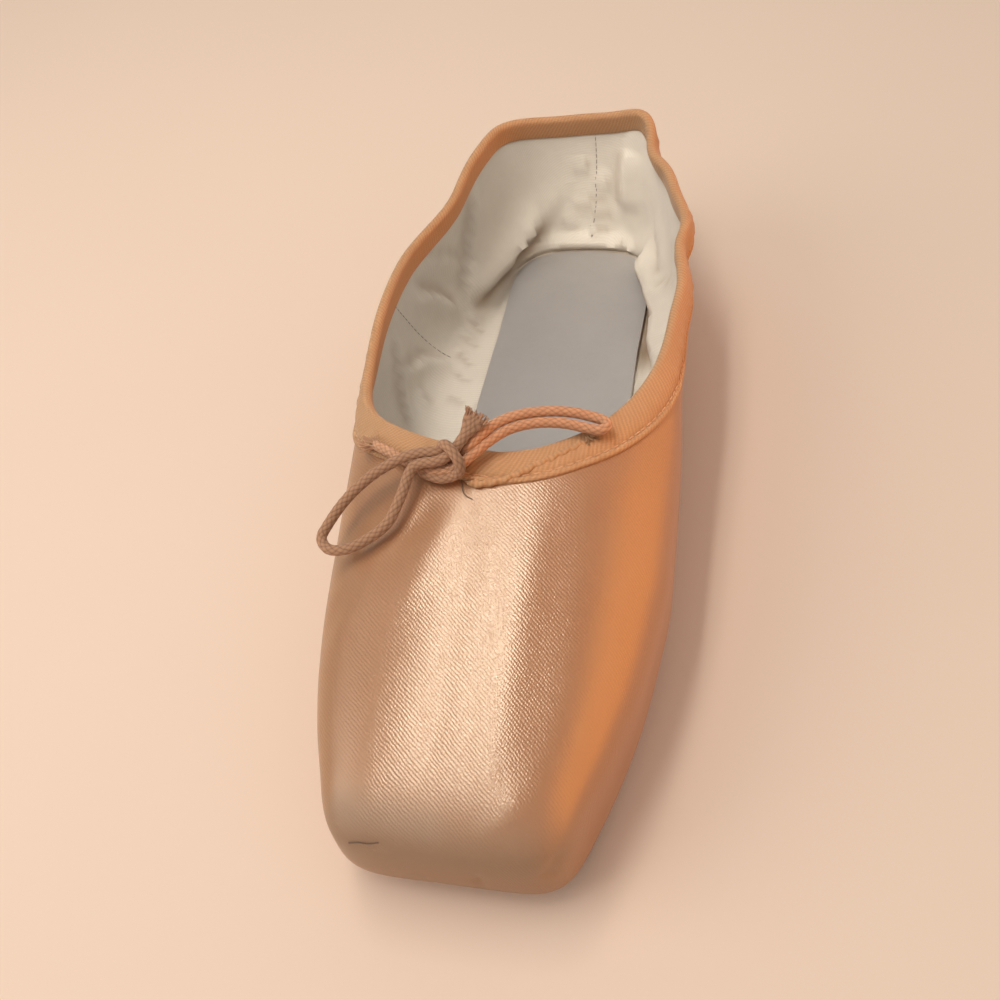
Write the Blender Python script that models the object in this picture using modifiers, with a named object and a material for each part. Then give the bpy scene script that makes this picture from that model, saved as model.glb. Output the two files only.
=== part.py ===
"""A pointe shoe for ballet, empty and standing on its sole, with the toe towards -Y and the heel towards +Y.

The satin upper, its drawstring casing, the leather outsole and the insole are all worked out from the same
last: a plan outline, a feather line and a crest that change from toe to heel. Lengths are in metres.
"""

import math

import bmesh
import bpy
from mathutils import Vector
from mathutils.bvhtree import BVHTree

# The last: overall sizes of the shoe.
SHOE_LENGTH = 0.2320
BALL_WIDTH = 0.0820
THROAT_HEIGHT = 0.0500
ARCH_RISE = 0.0040
TOE_SPRING = 0.0030

# Thicknesses of the made pieces and the gap that keeps neighbours apart.
UPPER_WALL = 0.0016
TOE_WALL = 0.0026
OUTSOLE_THICKNESS = 0.0022
INSOLE_THICKNESS = 0.0015
SEAM_GAP = 0.0003

# How the pieces lap over each other underneath.
LASTING_MARGIN = 0.0070
INSOLE_INSET = 0.0020
OUTSOLE_BEVEL = 0.0005
INSOLE_BEVEL = 0.0003

# The casing tape round the collar.
CASING_TAPE = 0.0008
CASING_OUTSIDE = 0.0075
CASING_INSIDE = 0.0055
CASING_ROOM = 0.0006
CASING_CLEARANCE = 0.0005

# Gathers of satin under the toe, from just outside the outsole to the feather line. Across a pleat a step is
# its share of the spacing and of the height; along it a row is its share of the way out and of the height.
PLEAT_HEIGHT = 0.0009
PLEAT_START = 0.0006
PLEAT_SPACING = 0.0060
PLEATS_ROUND_TOE = 8
PLEATS_ON_SIDE = 4
PLEAT_STEPS = ((0.0, 0.0), (0.7, 1.0))
PLEAT_ROWS = ((0.0, 0.0), (0.4, 1.0), (1.0, 0.6))

# The drawstring.
CORD_DIAMETER = 0.0025
CORD_BEVEL_RESOLUTION = 2
CORD_POINT_SPACING = 0.0065
KNOT_SIZE = (0.0100, 0.0080, 0.0060)
KNOT_TURN = 28.0
KNOT_CENTRE = (-0.0107, -0.0326, 0.0545)
ROUTE_SAMPLES = 12

# The free stretches of the drawstring, by hand, each from the knot outwards.
CORD_ROUTES = {
    "drawstring_loop_left": (
        (-0.0164, -0.0329, 0.0564),
        (-0.0206, -0.0338, 0.0559),
        (-0.0252, -0.0356, 0.0544),
        (-0.0304, -0.0381, 0.0518),
        (-0.0356, -0.0422, 0.0484),
        (-0.0393, -0.0472, 0.0452),
        (-0.0402, -0.0504, 0.0440),
        (-0.0376, -0.0532, 0.0438),
        (-0.0330, -0.0536, 0.0448),
        (-0.0280, -0.0516, 0.0464),
        (-0.0236, -0.0486, 0.0486),
        (-0.0217, -0.0448, 0.0506),
        (-0.0207, -0.0412, 0.0520),
        (-0.0201, -0.0386, 0.0532),
        (-0.0187, -0.0368, 0.0542),
        (-0.0164, -0.0360, 0.0550),
    ),
    "drawstring_loop_right": (
        (-0.0056, -0.0293, 0.0565),
        (-0.0042, -0.0276, 0.0570),
        (-0.0016, -0.0242, 0.0572),
        (0.0020, -0.0214, 0.0571),
        (0.0062, -0.0195, 0.0568),
        (0.0113, -0.0181, 0.0562),
        (0.0164, -0.0173, 0.0551),
        (0.0210, -0.0171, 0.0538),
        (0.0236, -0.0177, 0.0532),
        (0.0243, -0.0191, 0.0528),
        (0.0226, -0.0203, 0.0527),
        (0.0194, -0.0203, 0.0530),
        (0.0148, -0.0204, 0.0540),
        (0.0098, -0.0212, 0.0549),
        (0.0052, -0.0229, 0.0553),
        (0.0010, -0.0256, 0.0552),
        (-0.0024, -0.0290, 0.0549),
        (-0.0040, -0.0312, 0.0548),
    ),
    "drawstring_end_left": (
        (-0.0158, -0.0345, 0.0525),
        (-0.0202, -0.0326, 0.0520),
        (-0.0240, -0.0302, 0.0512),
        (-0.0282, -0.0273, 0.0502),
        (-0.0324, -0.0242, 0.0490),
    ),
    "drawstring_end_right": (
        (-0.0082, -0.0310, 0.0584),
        (-0.0072, -0.0297, 0.0590),
        (-0.0060, -0.0278, 0.0602),
        (-0.0049, -0.0256, 0.0614),
    ),
}

# Where the plan outline stops being two sides and turns round an end, as shares of the length.
TOE_CENTRE = 0.138
HEEL_CENTRE = 0.845
TOE_CORNER = 6.5
HEEL_CORNER = 3.2
SOLE_TIP_CORNER = 2.2

# Where the stiffened toe box ends and its thicker wall has thinned to the quarters' cloth.
BOX_FULL = 0.24
BOX_END = 0.36

# Power of the curve from the feather line to the widest line; 2 would be an ellipse.
LOWER_WALL_POWER = 2.4

# Sections of the last from the platform to the back of the heel. share is of SHOE_LENGTH; left, right and
# feather are of half BALL_WIDTH; widest and crest are of THROAT_HEIGHT; arch and spring are of ARCH_RISE and
# TOE_SPRING; square is the power of the curve over the top, 2 being an ellipse.
LAST_COLUMNS = ("share", "left", "right", "feather", "widest", "crest", "arch", "spring", "square")
LAST = (
    (0.000, 0.680, 0.610, 0.555, 0.30, 0.62, 0.00, 1.00, 5.0),
    (0.056, 0.755, 0.690, 0.640, 0.32, 0.69, 0.00, 0.40, 4.2),
    (0.112, 0.855, 0.800, 0.700, 0.37, 0.76, 0.00, 0.05, 3.4),
    (0.177, 0.940, 0.900, 0.745, 0.42, 0.83, 0.00, 0.00, 2.9),
    (0.241, 0.990, 0.960, 0.770, 0.46, 0.90, 0.00, 0.00, 2.7),
    (0.306, 1.020, 1.000, 0.770, 0.51, 0.96, 0.00, 0.00, 2.6),
    (0.380, 1.050, 1.000, 0.740, 0.57, 1.01, 0.00, 0.00, 2.6),
    (0.450, 1.080, 0.995, 0.700, 0.64, 1.02, 0.08, 0.00, 2.6),
    (0.522, 1.110, 0.975, 0.650, 0.72, 1.06, 0.45, 0.00, 2.6),
    (0.629, 1.130, 0.945, 0.610, 0.82, 1.20, 0.95, 0.00, 2.4),
    (0.724, 1.100, 0.920, 0.600, 0.85, 1.35, 0.70, 0.00, 2.2),
    (0.793, 1.020, 0.895, 0.610, 0.86, 1.50, 0.22, 0.00, 2.1),
    (0.862, 0.900, 0.810, 0.610, 0.86, 1.70, 0.00, 0.00, 2.0),
    (0.922, 0.780, 0.720, 0.615, 0.84, 1.90, 0.00, 0.00, 2.0),
    (1.000, 0.690, 0.670, 0.615, 0.80, 2.00, 0.00, 0.00, 2.0),
)

# The collar: how far round the top curve each side of the wall climbs, in degrees, 90 being the crest.
COLLAR_COLUMNS = ("share", "left_deg", "right_deg")
COLLAR = (
    (0.378, 90.0, 90.0),
    (0.384, 78.0, 80.0),
    (0.400, 64.0, 70.0),
    (0.425, 50.0, 60.0),
    (0.455, 37.0, 52.0),
    (0.495, 25.0, 43.0),
    (0.545, 17.0, 33.0),
    (0.610, 12.0, 22.0),
    (0.690, 7.0, 14.0),
    (0.770, 3.0, 10.0),
    (0.850, 5.0, 8.0),
    (0.920, 10.0, 9.0),
    (1.000, 12.5, 12.5),
)

# Outlines of the two flat pieces. share is of SHOE_LENGTH and half is of half BALL_WIDTH.
OUTLINE_COLUMNS = ("share", "half")
OUTSOLE = (
    (0.080, 0.400),
    (0.130, 0.500),
    (0.200, 0.580),
    (0.290, 0.585),
    (0.390, 0.500),
    (0.500, 0.370),
    (0.620, 0.300),
    (0.720, 0.330),
    (0.820, 0.410),
    (0.900, 0.430),
    (0.960, 0.420),
)
INSOLE = (
    (0.110, 0.560),
    (0.200, 0.660),
    (0.300, 0.680),
    (0.400, 0.640),
    (0.500, 0.590),
    (0.620, 0.555),
    (0.740, 0.550),
    (0.860, 0.560),
    (0.968, 0.540),
)

# Where a casing section has its points: shares of its legs, and angles over its outer and inner arcs.
CASING_STEPS = (1.0, 0.65, 0.3)
CASING_OUTER_ARC = (10.0, 90.0, 170.0)
CASING_INNER_ARC = (170.0, 10.0)

# How finely the last is divided.
COLUMNS_BEFORE_THROAT = 5
COLUMNS_BEHIND_THROAT = 20
COLUMNS_ROUND_HEEL = 9
THROAT_CROWDING = 1.6
ROWS_LOWER_WALL = 4
ROWS_UPPER_WALL = 8
OUTLINE_STEPS = 30
KNOT_SEGMENTS = 14
KNOT_RINGS = 8
BISECTIONS = 24
MERGE_DISTANCE = 0.00001
SHARP_ANGLE = 50.0


def column(table, columns, name, at):
    """The value of a table's column at a share of the length, on a smooth curve through the rows."""
    shares = [row[0] for row in table]
    values = [row[columns.index(name)] for row in table]
    at = min(max(at, shares[0]), shares[-1])
    last = len(shares) - 1
    i = min(max(k for k in range(len(shares)) if shares[k] <= at), last - 1)

    def slope(k):
        if k in (0, last):
            near = 1 if k == 0 else last - 1
            return (values[near] - values[k]) / (shares[near] - shares[k])
        before = (values[k] - values[k - 1]) / (shares[k] - shares[k - 1])
        after = (values[k + 1] - values[k]) / (shares[k + 1] - shares[k])
        return 0.0 if before * after <= 0 else 2 * before * after / (before + after)

    step = shares[i + 1] - shares[i]
    t = (at - shares[i]) / step
    start = values[i] * (1 + 2 * t) * (1 - t) ** 2 + slope(i) * step * t * (1 - t) ** 2
    end = values[i + 1] * t * t * (3 - 2 * t) - slope(i + 1) * step * t * t * (1 - t)
    return start + end


def y_of(share):
    return (share - 0.5) * SHOE_LENGTH


def share_of(y):
    return y / SHOE_LENGTH + 0.5


def last_value(name, y):
    return column(LAST, LAST_COLUMNS, name, share_of(y))


def half_width(side, y):
    """Half the plan width of the last, at its widest line, on the left (-1) or right (+1)."""
    return last_value("left" if side < 0 else "right", y) * BALL_WIDTH / 2


def feather_half(y):
    return last_value("feather", y) * BALL_WIDTH / 2


def floor_clearance(y):
    """Height of the outsole's underside: flat at the ball and heel, lifted at the arch and the toe."""
    return last_value("arch", y) * ARCH_RISE + last_value("spring", y) * TOE_SPRING


def underside(y):
    """Height of the bottom of the upper, just above the outsole."""
    return floor_clearance(y) + OUTSOLE_THICKNESS + SEAM_GAP


def stiffness(y):
    """1 in the toe box, 0 in the soft quarters, and a smooth change between."""
    t = min(max((BOX_END - share_of(y)) / (BOX_END - BOX_FULL), 0.0), 1.0)
    return t * t * (3 - 2 * t)


def wall(y):
    return UPPER_WALL + (TOE_WALL - UPPER_WALL) * stiffness(y)


def insole_seat(y):
    """Height of the insole's underside, just above the lasted margin of the upper."""
    return underside(y) + wall(y) + SEAM_GAP


def rounded(angle, power):
    """A point on a unit superellipse in the direction of an angle."""
    c, s = math.cos(angle), math.sin(angle)
    size = (abs(c) ** power + abs(s) ** power) ** (-1 / power)
    return c * size, s * size


def outline_half(table, y, front_corner, back_corner, inset=0.0):
    """Half the width of a flat piece at y, with its two ends rounded off, less an inset all round."""
    front, back = y_of(table[0][0]) + inset, y_of(table[-1][0]) - inset
    if not front < y < back:
        return 0.0
    half = column(table, OUTLINE_COLUMNS, "half", share_of(y)) * BALL_WIDTH / 2 - inset
    for reach, power in ((y - front, front_corner), (back - y, back_corner)):
        if reach < half:
            half *= (1 - (1 - reach / half) ** power) ** (1 / power)
    return half


def sole_half(y, inset=0.0):
    return outline_half(OUTSOLE, y, SOLE_TIP_CORNER, HEEL_CORNER, inset)


def insole_half(y, inset=0.0):
    inside = feather_half(y) - INSOLE_INSET - inset
    return min(inside, outline_half(INSOLE, y, SOLE_TIP_CORNER, HEEL_CORNER, inset))


def share_inside(half_at, spine, rim):
    """How far from the spine to the rim, from 0 to 1, a rib stays inside an outline."""
    low, high = 0.0, 1.0
    for _ in range(BISECTIONS):
        middle = (low + high) / 2
        point = spine.lerp(rim, middle)
        if abs(point.x) < half_at(point.y):
            low = middle
        else:
            high = middle
    return low


def plan_columns():
    """The ribs of half the last, from the middle of the toe to the middle of the heel. Each is its kind, its
    place, which is an angle round an end or a share of the length, and how high it stands on its pleat."""
    made = []
    turn = math.pi / 2 / PLEATS_ROUND_TOE
    spacing = PLEAT_SPACING / SHOE_LENGTH
    throat = COLLAR[0][0]
    for pleat in range(PLEATS_ROUND_TOE):
        made += [("toe", math.pi / 2 - (pleat + step) * turn, height) for step, height in PLEAT_STEPS]
    for pleat in range(PLEATS_ON_SIDE):
        made += [("side", TOE_CENTRE + (pleat + step) * spacing, height) for step, height in PLEAT_STEPS]
    first = TOE_CENTRE + PLEATS_ON_SIDE * spacing
    for k in range(COLUMNS_BEFORE_THROAT):
        made.append(("side", first + (throat - first) * k / COLUMNS_BEFORE_THROAT, 0.0))
    for k in range(COLUMNS_BEHIND_THROAT):
        along = (k / COLUMNS_BEHIND_THROAT) ** THROAT_CROWDING
        made.append(("side", throat + (HEEL_CENTRE - throat) * along, 0.0))
    for k in range(COLUMNS_ROUND_HEEL + 1):
        made.append(("heel", math.pi / 2 * k / COLUMNS_ROUND_HEEL, 0.0))
    return made


def spine_and_rim(kind, at, side):
    """The two ends, in plan, of a rib: on the middle line and on the last's widest outline."""
    if kind == "side":
        y = y_of(at)
        return Vector((0, y, 0)), Vector((side * half_width(side, y), y, 0))
    toe = kind == "toe"
    middle = y_of(TOE_CENTRE if toe else HEEL_CENTRE)
    end = y_of(0.0 if toe else 1.0)
    across, along = rounded(at, TOE_CORNER if toe else HEEL_CORNER)
    y = middle + (end - middle) * along
    return Vector((0, middle, 0)), Vector((side * half_width(side, y) * across, y, 0))


def collar_turn(side, y):
    """How far round the top curve a rib runs before it meets the collar, as an angle."""
    if share_of(y) <= COLLAR[0][0]:
        return math.pi / 2
    name = "left_deg" if side < 0 else "right_deg"
    return math.radians(column(COLLAR, COLLAR_COLUMNS, name, share_of(y)))


def on_last(spine, rim, across, rise):
    """A point of the last: a share across from spine to rim, and a share of the way up from its underside."""
    point = spine.lerp(rim, across)
    low = underside(point.y)
    point.z = low + rise * (last_value("crest", point.y) * THROAT_HEIGHT - low)
    return point


def rib(kind, at, side, pleat):
    """The outside of the upper along one rib, from the edge of its opening underneath to its top."""
    spine, rim = spine_and_rim(kind, at, side)
    opening = share_inside(lambda y: sole_half(y, LASTING_MARGIN), spine, rim)
    sole_edge = share_inside(lambda y: sole_half(y, -PLEAT_START), spine, rim)
    feather = feather_half(rim.y) / half_width(side, rim.y)
    low = underside(rim.y)
    top = last_value("crest", rim.y) * THROAT_HEIGHT
    widest = (last_value("widest", rim.y) * THROAT_HEIGHT - low) / (top - low)
    points = [on_last(spine, rim, opening, 0.0)]
    for share, gathered in PLEAT_ROWS:
        point = on_last(spine, rim, sole_edge + (feather - sole_edge) * share, 0.0)
        point.z -= pleat * gathered * PLEAT_HEIGHT
        points.append(point)
    for k in range(1, ROWS_LOWER_WALL):
        c, s = rounded(math.pi / 2 * k / ROWS_LOWER_WALL, LOWER_WALL_POWER)
        points.append(on_last(spine, rim, feather + (1 - feather) * s, widest * (1 - c)))
    for k in range(ROWS_UPPER_WALL + 1):
        turn = collar_turn(side, rim.y) * k / ROWS_UPPER_WALL
        c, s = rounded(turn, last_value("square", rim.y))
        points.append(on_last(spine, rim, c, widest + (1 - widest) * s))
    return points


def upper_ribs():
    """All ribs of the upper, from the middle of the heel along the left, round the toe and back."""
    half = plan_columns()
    left = [rib(kind, at, -1, pleat) for kind, at, pleat in reversed(half)]
    right = [rib(kind, at, 1, pleat) for kind, at, pleat in half]
    return left[:-1] + right[:-1]


def collar_edge():
    """The top edge of the upper, from the throat along the left to the heel and back along the right."""
    places = [place for place in plan_columns() if place[0] != "toe"]
    half = [place for place in places if place[0] == "heel" or place[1] >= COLLAR[0][0]]
    left = [rib(kind, at, -1, 0.0)[-1] for kind, at, _ in half]
    right = [rib(kind, at, 1, 0.0)[-1] for kind, at, _ in half]
    return left + right[-2:0:-1]


def ring_of_quads(lines, closed_across):
    """A bmesh of quads between neighbouring lines of points, with the last line joined to the first."""
    work = bmesh.new()
    rows = [[work.verts.new(point) for point in line] for line in lines]
    for here, there in zip(rows, rows[1:] + rows[:1]):
        for k in range(len(here) if closed_across else len(here) - 1):
            after = (k + 1) % len(here)
            work.faces.new((here[k], there[k], there[after], here[after]))
    bmesh.ops.remove_doubles(work, verts=work.verts, dist=MERGE_DISTANCE)
    if closed_across:
        bmesh.ops.recalc_face_normals(work, faces=work.faces)
    return work


def casing_section(surface, point, along):
    """A closed U that straddles the wall: up its outside, over the top edge, down its inside and back."""
    thick = wall(point.y)
    normal = surface.find_nearest(point)[1]
    down = normal.cross(along).normalized()
    middle = point - normal * thick / 2

    def beside(distance, offset):
        spot, facing = surface.find_nearest(point + down * distance)[:2]
        return spot + facing * offset

    def over(angle, clearance):
        radius = thick / 2 + clearance
        across = radius * math.cos(math.radians(angle))
        rise = CASING_ROOM + radius * math.sin(math.radians(angle))
        return middle + normal * across - down * rise

    near, far = CASING_CLEARANCE, CASING_CLEARANCE + CASING_TAPE
    outer = [beside(CASING_OUTSIDE * step, far) for step in CASING_STEPS]
    outer += [over(angle, far) for angle in CASING_OUTER_ARC]
    outer += [beside(CASING_INSIDE * step, -thick - far) for step in reversed(CASING_STEPS)]
    inner = [beside(CASING_INSIDE * step, -thick - near) for step in CASING_STEPS]
    inner += [over(angle, near) for angle in CASING_INNER_ARC]
    inner += [beside(CASING_OUTSIDE * step, near) for step in reversed(CASING_STEPS)]
    return outer + inner


def casing_mesh(surface):
    edge = collar_edge()
    sections = []
    for k, point in enumerate(edge):
        along = (edge[(k + 1) % len(edge)] - edge[k - 1]).normalized()
        sections.append(casing_section(surface, point, along))
    return ring_of_quads(sections, True)


def plate_sheet(table, half_at, low_at):
    """An open sheet, one strip of quads from tip to tip, that a flat piece gets its thickness from."""
    front, back = y_of(table[0][0]), y_of(table[-1][0])
    middle, reach = (front + back) / 2, (back - front) / 2
    work = bmesh.new()
    rows = [[work.verts.new((0, front, low_at(front)))] * 2]
    for k in range(1, OUTLINE_STEPS):
        y = middle - reach * math.cos(math.pi * k / OUTLINE_STEPS)
        half = half_at(y)
        rows.append([work.verts.new((x, y, low_at(y))) for x in (-half, half)])
    rows.append([work.verts.new((0, back, low_at(back)))] * 2)
    for near, far in zip(rows, rows[1:]):
        work.faces.new(dict.fromkeys((near[0], near[1], far[1], far[0])))
    return work


def new_material(name, colour, roughness):
    material = bpy.data.materials.new(name)
    material.use_nodes = True
    shader = material.node_tree.nodes["Principled BSDF"]
    shader.inputs["Base Color"].default_value = (*colour, 1.0)
    shader.inputs["Roughness"].default_value = roughness
    return material


def new_mesh_object(name, work, material):
    """An object of this name from a finished bmesh, shaded smooth except at its real edges."""
    mesh = bpy.data.meshes.new(name)
    work.to_mesh(mesh)
    work.free()
    mesh.materials.append(material)
    mesh.shade_smooth()
    mesh.set_sharp_from_angle(angle=math.radians(SHARP_ANGLE))
    return bpy.data.objects.new(name, mesh)


def make_upper(material):
    """The satin upper: one open skin over the last, thickened inwards, with a stiffer toe box."""
    upper = new_mesh_object("upper", ring_of_quads(upper_ribs(), False), material)
    stiff = upper.vertex_groups.new(name="toe_box")
    for vertex in upper.data.vertices:
        stiff.add([vertex.index], stiffness(vertex.co.y), "REPLACE")
    thicken = upper.modifiers.new("wall", "SOLIDIFY")
    thicken.thickness = TOE_WALL
    thicken.thickness_vertex_group = UPPER_WALL / TOE_WALL
    thicken.vertex_group = stiff.name
    thicken.offset = -1
    thicken.use_even_offset = True
    return upper


def make_plate(name, sheet, thickness, bevel, material):
    """A flat piece: its sheet thickened upwards, with the edge softened."""
    plate = new_mesh_object(name, sheet, material)
    thicken = plate.modifiers.new("thickness", "SOLIDIFY")
    thicken.thickness = thickness
    thicken.offset = 1
    soften = plate.modifiers.new("soft edge", "BEVEL")
    soften.width = bevel
    soften.segments = 1
    soften.limit_method = "ANGLE"
    soften.angle_limit = math.radians(SHARP_ANGLE)
    return plate


def make_knot(material):
    """The knot of the bow: a flattened ball where the loops and the ends meet."""
    work = bmesh.new()
    bmesh.ops.create_uvsphere(work, u_segments=KNOT_SEGMENTS, v_segments=KNOT_RINGS, radius=0.5)
    bmesh.ops.scale(work, verts=work.verts, vec=KNOT_SIZE)
    knot = new_mesh_object("drawstring_knot", work, material)
    knot.location = KNOT_CENTRE
    knot.rotation_euler.z = math.radians(KNOT_TURN)
    return knot


def smooth_route(points):
    """Points at an even spacing on a smooth curve through the route's own points."""
    points = [Vector(point) for point in points]
    ends = [2 * points[0] - points[1], *points, 2 * points[-1] - points[-2]]
    fine = []
    for a, b, c, d in zip(ends, ends[1:], ends[2:], ends[3:]):
        for k in range(ROUTE_SAMPLES):
            t = k / ROUTE_SAMPLES
            bend = 2 * a - 5 * b + 4 * c - d
            twist = 3 * b - a - 3 * c + d
            fine.append(b + ((c - a) * t + bend * t * t + twist * t**3) / 2)
    fine.append(points[-1])
    travelled = [0.0]
    for a, b in zip(fine, fine[1:]):
        travelled.append(travelled[-1] + (b - a).length)
    count = max(round(travelled[-1] / CORD_POINT_SPACING), 2)
    made = []
    for k in range(count + 1):
        wanted = travelled[-1] * k / count
        i = min(max(n for n, far in enumerate(travelled) if far <= wanted), len(fine) - 2)
        share = (wanted - travelled[i]) / (travelled[i + 1] - travelled[i])
        made.append(fine[i].lerp(fine[i + 1], min(share, 1.0)))
    return made


def make_cord(name, route, material):
    """A free stretch of the drawstring, as a round tube along its route."""
    curve = bpy.data.curves.new(name, "CURVE")
    curve.dimensions = "3D"
    curve.bevel_depth = CORD_DIAMETER / 2
    curve.bevel_resolution = CORD_BEVEL_RESOLUTION
    curve.use_fill_caps = True
    points = smooth_route(route)
    spline = curve.splines.new("POLY")
    spline.points.add(len(points) - 1)
    for control, point in zip(spline.points, points):
        control.co = (*point, 1.0)
    curve.materials.append(material)
    return bpy.data.objects.new(name, curve)


def clear_scene():
    for thing in list(bpy.data.objects):
        bpy.data.objects.remove(thing, do_unlink=True)


def corners_of(pieces):
    """Every corner of the finished meshes of these pieces, in world space."""
    bpy.context.view_layer.update()
    graph = bpy.context.evaluated_depsgraph_get()
    found = []
    for piece in pieces:
        finished = piece.evaluated_get(graph)
        found += [finished.matrix_world @ vertex.co for vertex in finished.to_mesh().vertices]
        finished.to_mesh_clear()
    return found


def centre(shoe, pieces):
    """Moves the shoe so that the origin is under the middle of these pieces, on the floor."""
    corners = corners_of(pieces)
    for axis in (0, 1):
        low = min(corner[axis] for corner in corners)
        high = max(corner[axis] for corner in corners)
        shoe.location[axis] = -(low + high) / 2


def main():
    clear_scene()
    satin = new_material("satin", (0.80, 0.50, 0.34), 0.35)
    tape = new_material("tape", (0.76, 0.46, 0.28), 0.85)
    leather = new_material("leather", (0.62, 0.45, 0.30), 0.60)
    board = new_material("board", (0.55, 0.57, 0.58), 0.75)
    cord = new_material("cord", (0.62, 0.38, 0.26), 0.80)
    surface = BVHTree.FromBMesh(ring_of_quads(upper_ribs(), False))
    body = [
        make_upper(satin),
        new_mesh_object("collar_binding", casing_mesh(surface), tape),
        make_plate("outsole", plate_sheet(OUTSOLE, sole_half, floor_clearance), OUTSOLE_THICKNESS,
                   OUTSOLE_BEVEL, leather),
        make_plate("insole", plate_sheet(INSOLE, insole_half, insole_seat), INSOLE_THICKNESS,
                   INSOLE_BEVEL, board),
    ]
    drawstring = [make_knot(cord)]
    drawstring += [make_cord(name, route, cord) for name, route in CORD_ROUTES.items()]
    parts = bpy.data.collections.new("pointe_shoe")
    bpy.context.scene.collection.children.link(parts)
    shoe = bpy.data.objects.new("shoe", None)
    parts.objects.link(shoe)
    for piece in body + drawstring:
        parts.objects.link(piece)
        piece.parent = shoe
    centre(shoe, body)


if __name__ == "__main__":
    main()
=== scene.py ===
"""A pointe shoe in satin, built round its packed solids: upper, lining, casing, drawstring, insole and outsole.

The toe is towards -Y and the heel towards +Y. The sole stands on z = 0. Lengths are in metres, and the tables
that are marked so are in millimetres. Points are given in the last's own frame and moved to the row's frame
by in_row, as the packed shoe is centred on its own box.
"""

import math
import random

import bpy
from bpy.props import FloatProperty, FloatVectorProperty, PointerProperty
from bpy.types import Operator, Panel, PropertyGroup
from mathutils import Matrix, Vector
from mathutils.bvhtree import BVHTree
from mathutils.interpolate import poly_3d_calc


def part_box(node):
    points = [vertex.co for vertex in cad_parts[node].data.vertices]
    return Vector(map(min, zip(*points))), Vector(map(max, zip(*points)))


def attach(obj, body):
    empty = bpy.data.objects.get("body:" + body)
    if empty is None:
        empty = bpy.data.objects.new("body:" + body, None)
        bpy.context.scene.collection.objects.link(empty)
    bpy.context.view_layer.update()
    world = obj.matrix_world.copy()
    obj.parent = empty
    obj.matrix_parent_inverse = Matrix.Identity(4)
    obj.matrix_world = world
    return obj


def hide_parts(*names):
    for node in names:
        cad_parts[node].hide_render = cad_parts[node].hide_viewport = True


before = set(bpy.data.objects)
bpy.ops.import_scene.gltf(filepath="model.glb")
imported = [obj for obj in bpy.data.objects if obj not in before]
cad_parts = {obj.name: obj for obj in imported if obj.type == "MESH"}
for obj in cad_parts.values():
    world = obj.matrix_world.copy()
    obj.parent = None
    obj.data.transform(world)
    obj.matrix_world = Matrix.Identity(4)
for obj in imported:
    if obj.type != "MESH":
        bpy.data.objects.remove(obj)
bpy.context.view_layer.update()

bl_info = {
    "name": "Pointe shoe",
    "version": (1, 0, 0),
    "blender": (4, 5, 0),
    "location": "View3D > Sidebar > Pointe shoe",
    "description": "Dresses a pointe shoe: satin, canvas lining, drawstring casing, board insole and leather sole",
    "category": "Add Mesh",
}

MM = 0.001
MERGED_WITHIN = 1e-6
# The angle, in degrees, up to which each kind of piece is shaded smooth.
CLOTH_SMOOTHING = 60
CASING_SMOOTHING = 55
THREAD_SMOOTHING = 80
PLATE_SMOOTHING = 40
UP = Vector((0, 0, 1))

# The last and the thicknesses, as in the part's own source.
SHOE_LENGTH = 0.2320
BALL_WIDTH = 0.0820
THROAT_HEIGHT = 0.0500
ARCH_RISE = 0.0040
TOE_SPRING = 0.0030
UPPER_WALL = 0.0016
TOE_WALL = 0.0026
OUTSOLE_THICKNESS = 0.0022
INSOLE_THICKNESS = 0.0015
SEAM_GAP = 0.0003
LASTING_MARGIN = 0.0070
INSOLE_INSET = 0.0020
PLEAT_HEIGHT = 0.0009
PLEAT_START = 0.0006
PLEAT_SPACING = 0.0060
PLEATS_ROUND_TOE = 8
PLEATS_ON_SIDE = 4
PLEAT_ON_WALL = 0.6
PLEAT_WALL_SHARE = 0.3
PLEAT_TUCK = 0.8
TOE_CENTRE = 0.138
HEEL_CENTRE = 0.845
TOE_CORNER = 6.5
HEEL_CORNER = 3.2
SOLE_TIP_CORNER = 2.2
BOX_FULL = 0.24
BOX_END = 0.36
LOWER_WALL_POWER = 2.4
BISECTIONS = 20

LAST_COLUMNS = ("share", "left", "right", "feather", "widest", "crest", "arch", "spring", "square")
LAST = (
    (0.000, 0.680, 0.610, 0.555, 0.30, 0.62, 0.00, 1.00, 5.0),
    (0.056, 0.755, 0.690, 0.640, 0.32, 0.69, 0.00, 0.40, 4.2),
    (0.112, 0.855, 0.800, 0.700, 0.37, 0.76, 0.00, 0.05, 3.4),
    (0.177, 0.940, 0.900, 0.745, 0.42, 0.83, 0.00, 0.00, 2.9),
    (0.241, 0.990, 0.960, 0.770, 0.46, 0.90, 0.00, 0.00, 2.7),
    (0.306, 1.020, 1.000, 0.770, 0.51, 0.96, 0.00, 0.00, 2.6),
    (0.380, 1.050, 1.000, 0.740, 0.57, 1.01, 0.00, 0.00, 2.6),
    (0.450, 1.080, 0.995, 0.700, 0.64, 1.02, 0.08, 0.00, 2.6),
    (0.522, 1.110, 0.975, 0.650, 0.72, 1.06, 0.45, 0.00, 2.6),
    (0.629, 1.130, 0.945, 0.610, 0.82, 1.20, 0.95, 0.00, 2.4),
    (0.724, 1.100, 0.920, 0.600, 0.85, 1.35, 0.70, 0.00, 2.2),
    (0.793, 1.020, 0.895, 0.610, 0.86, 1.50, 0.22, 0.00, 2.1),
    (0.862, 0.900, 0.810, 0.610, 0.86, 1.70, 0.00, 0.00, 2.0),
    (0.922, 0.780, 0.720, 0.615, 0.84, 1.90, 0.00, 0.00, 2.0),
    (1.000, 0.690, 0.670, 0.615, 0.80, 2.00, 0.00, 0.00, 2.0),
)
COLLAR_COLUMNS = ("share", "left_deg", "right_deg")
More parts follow.
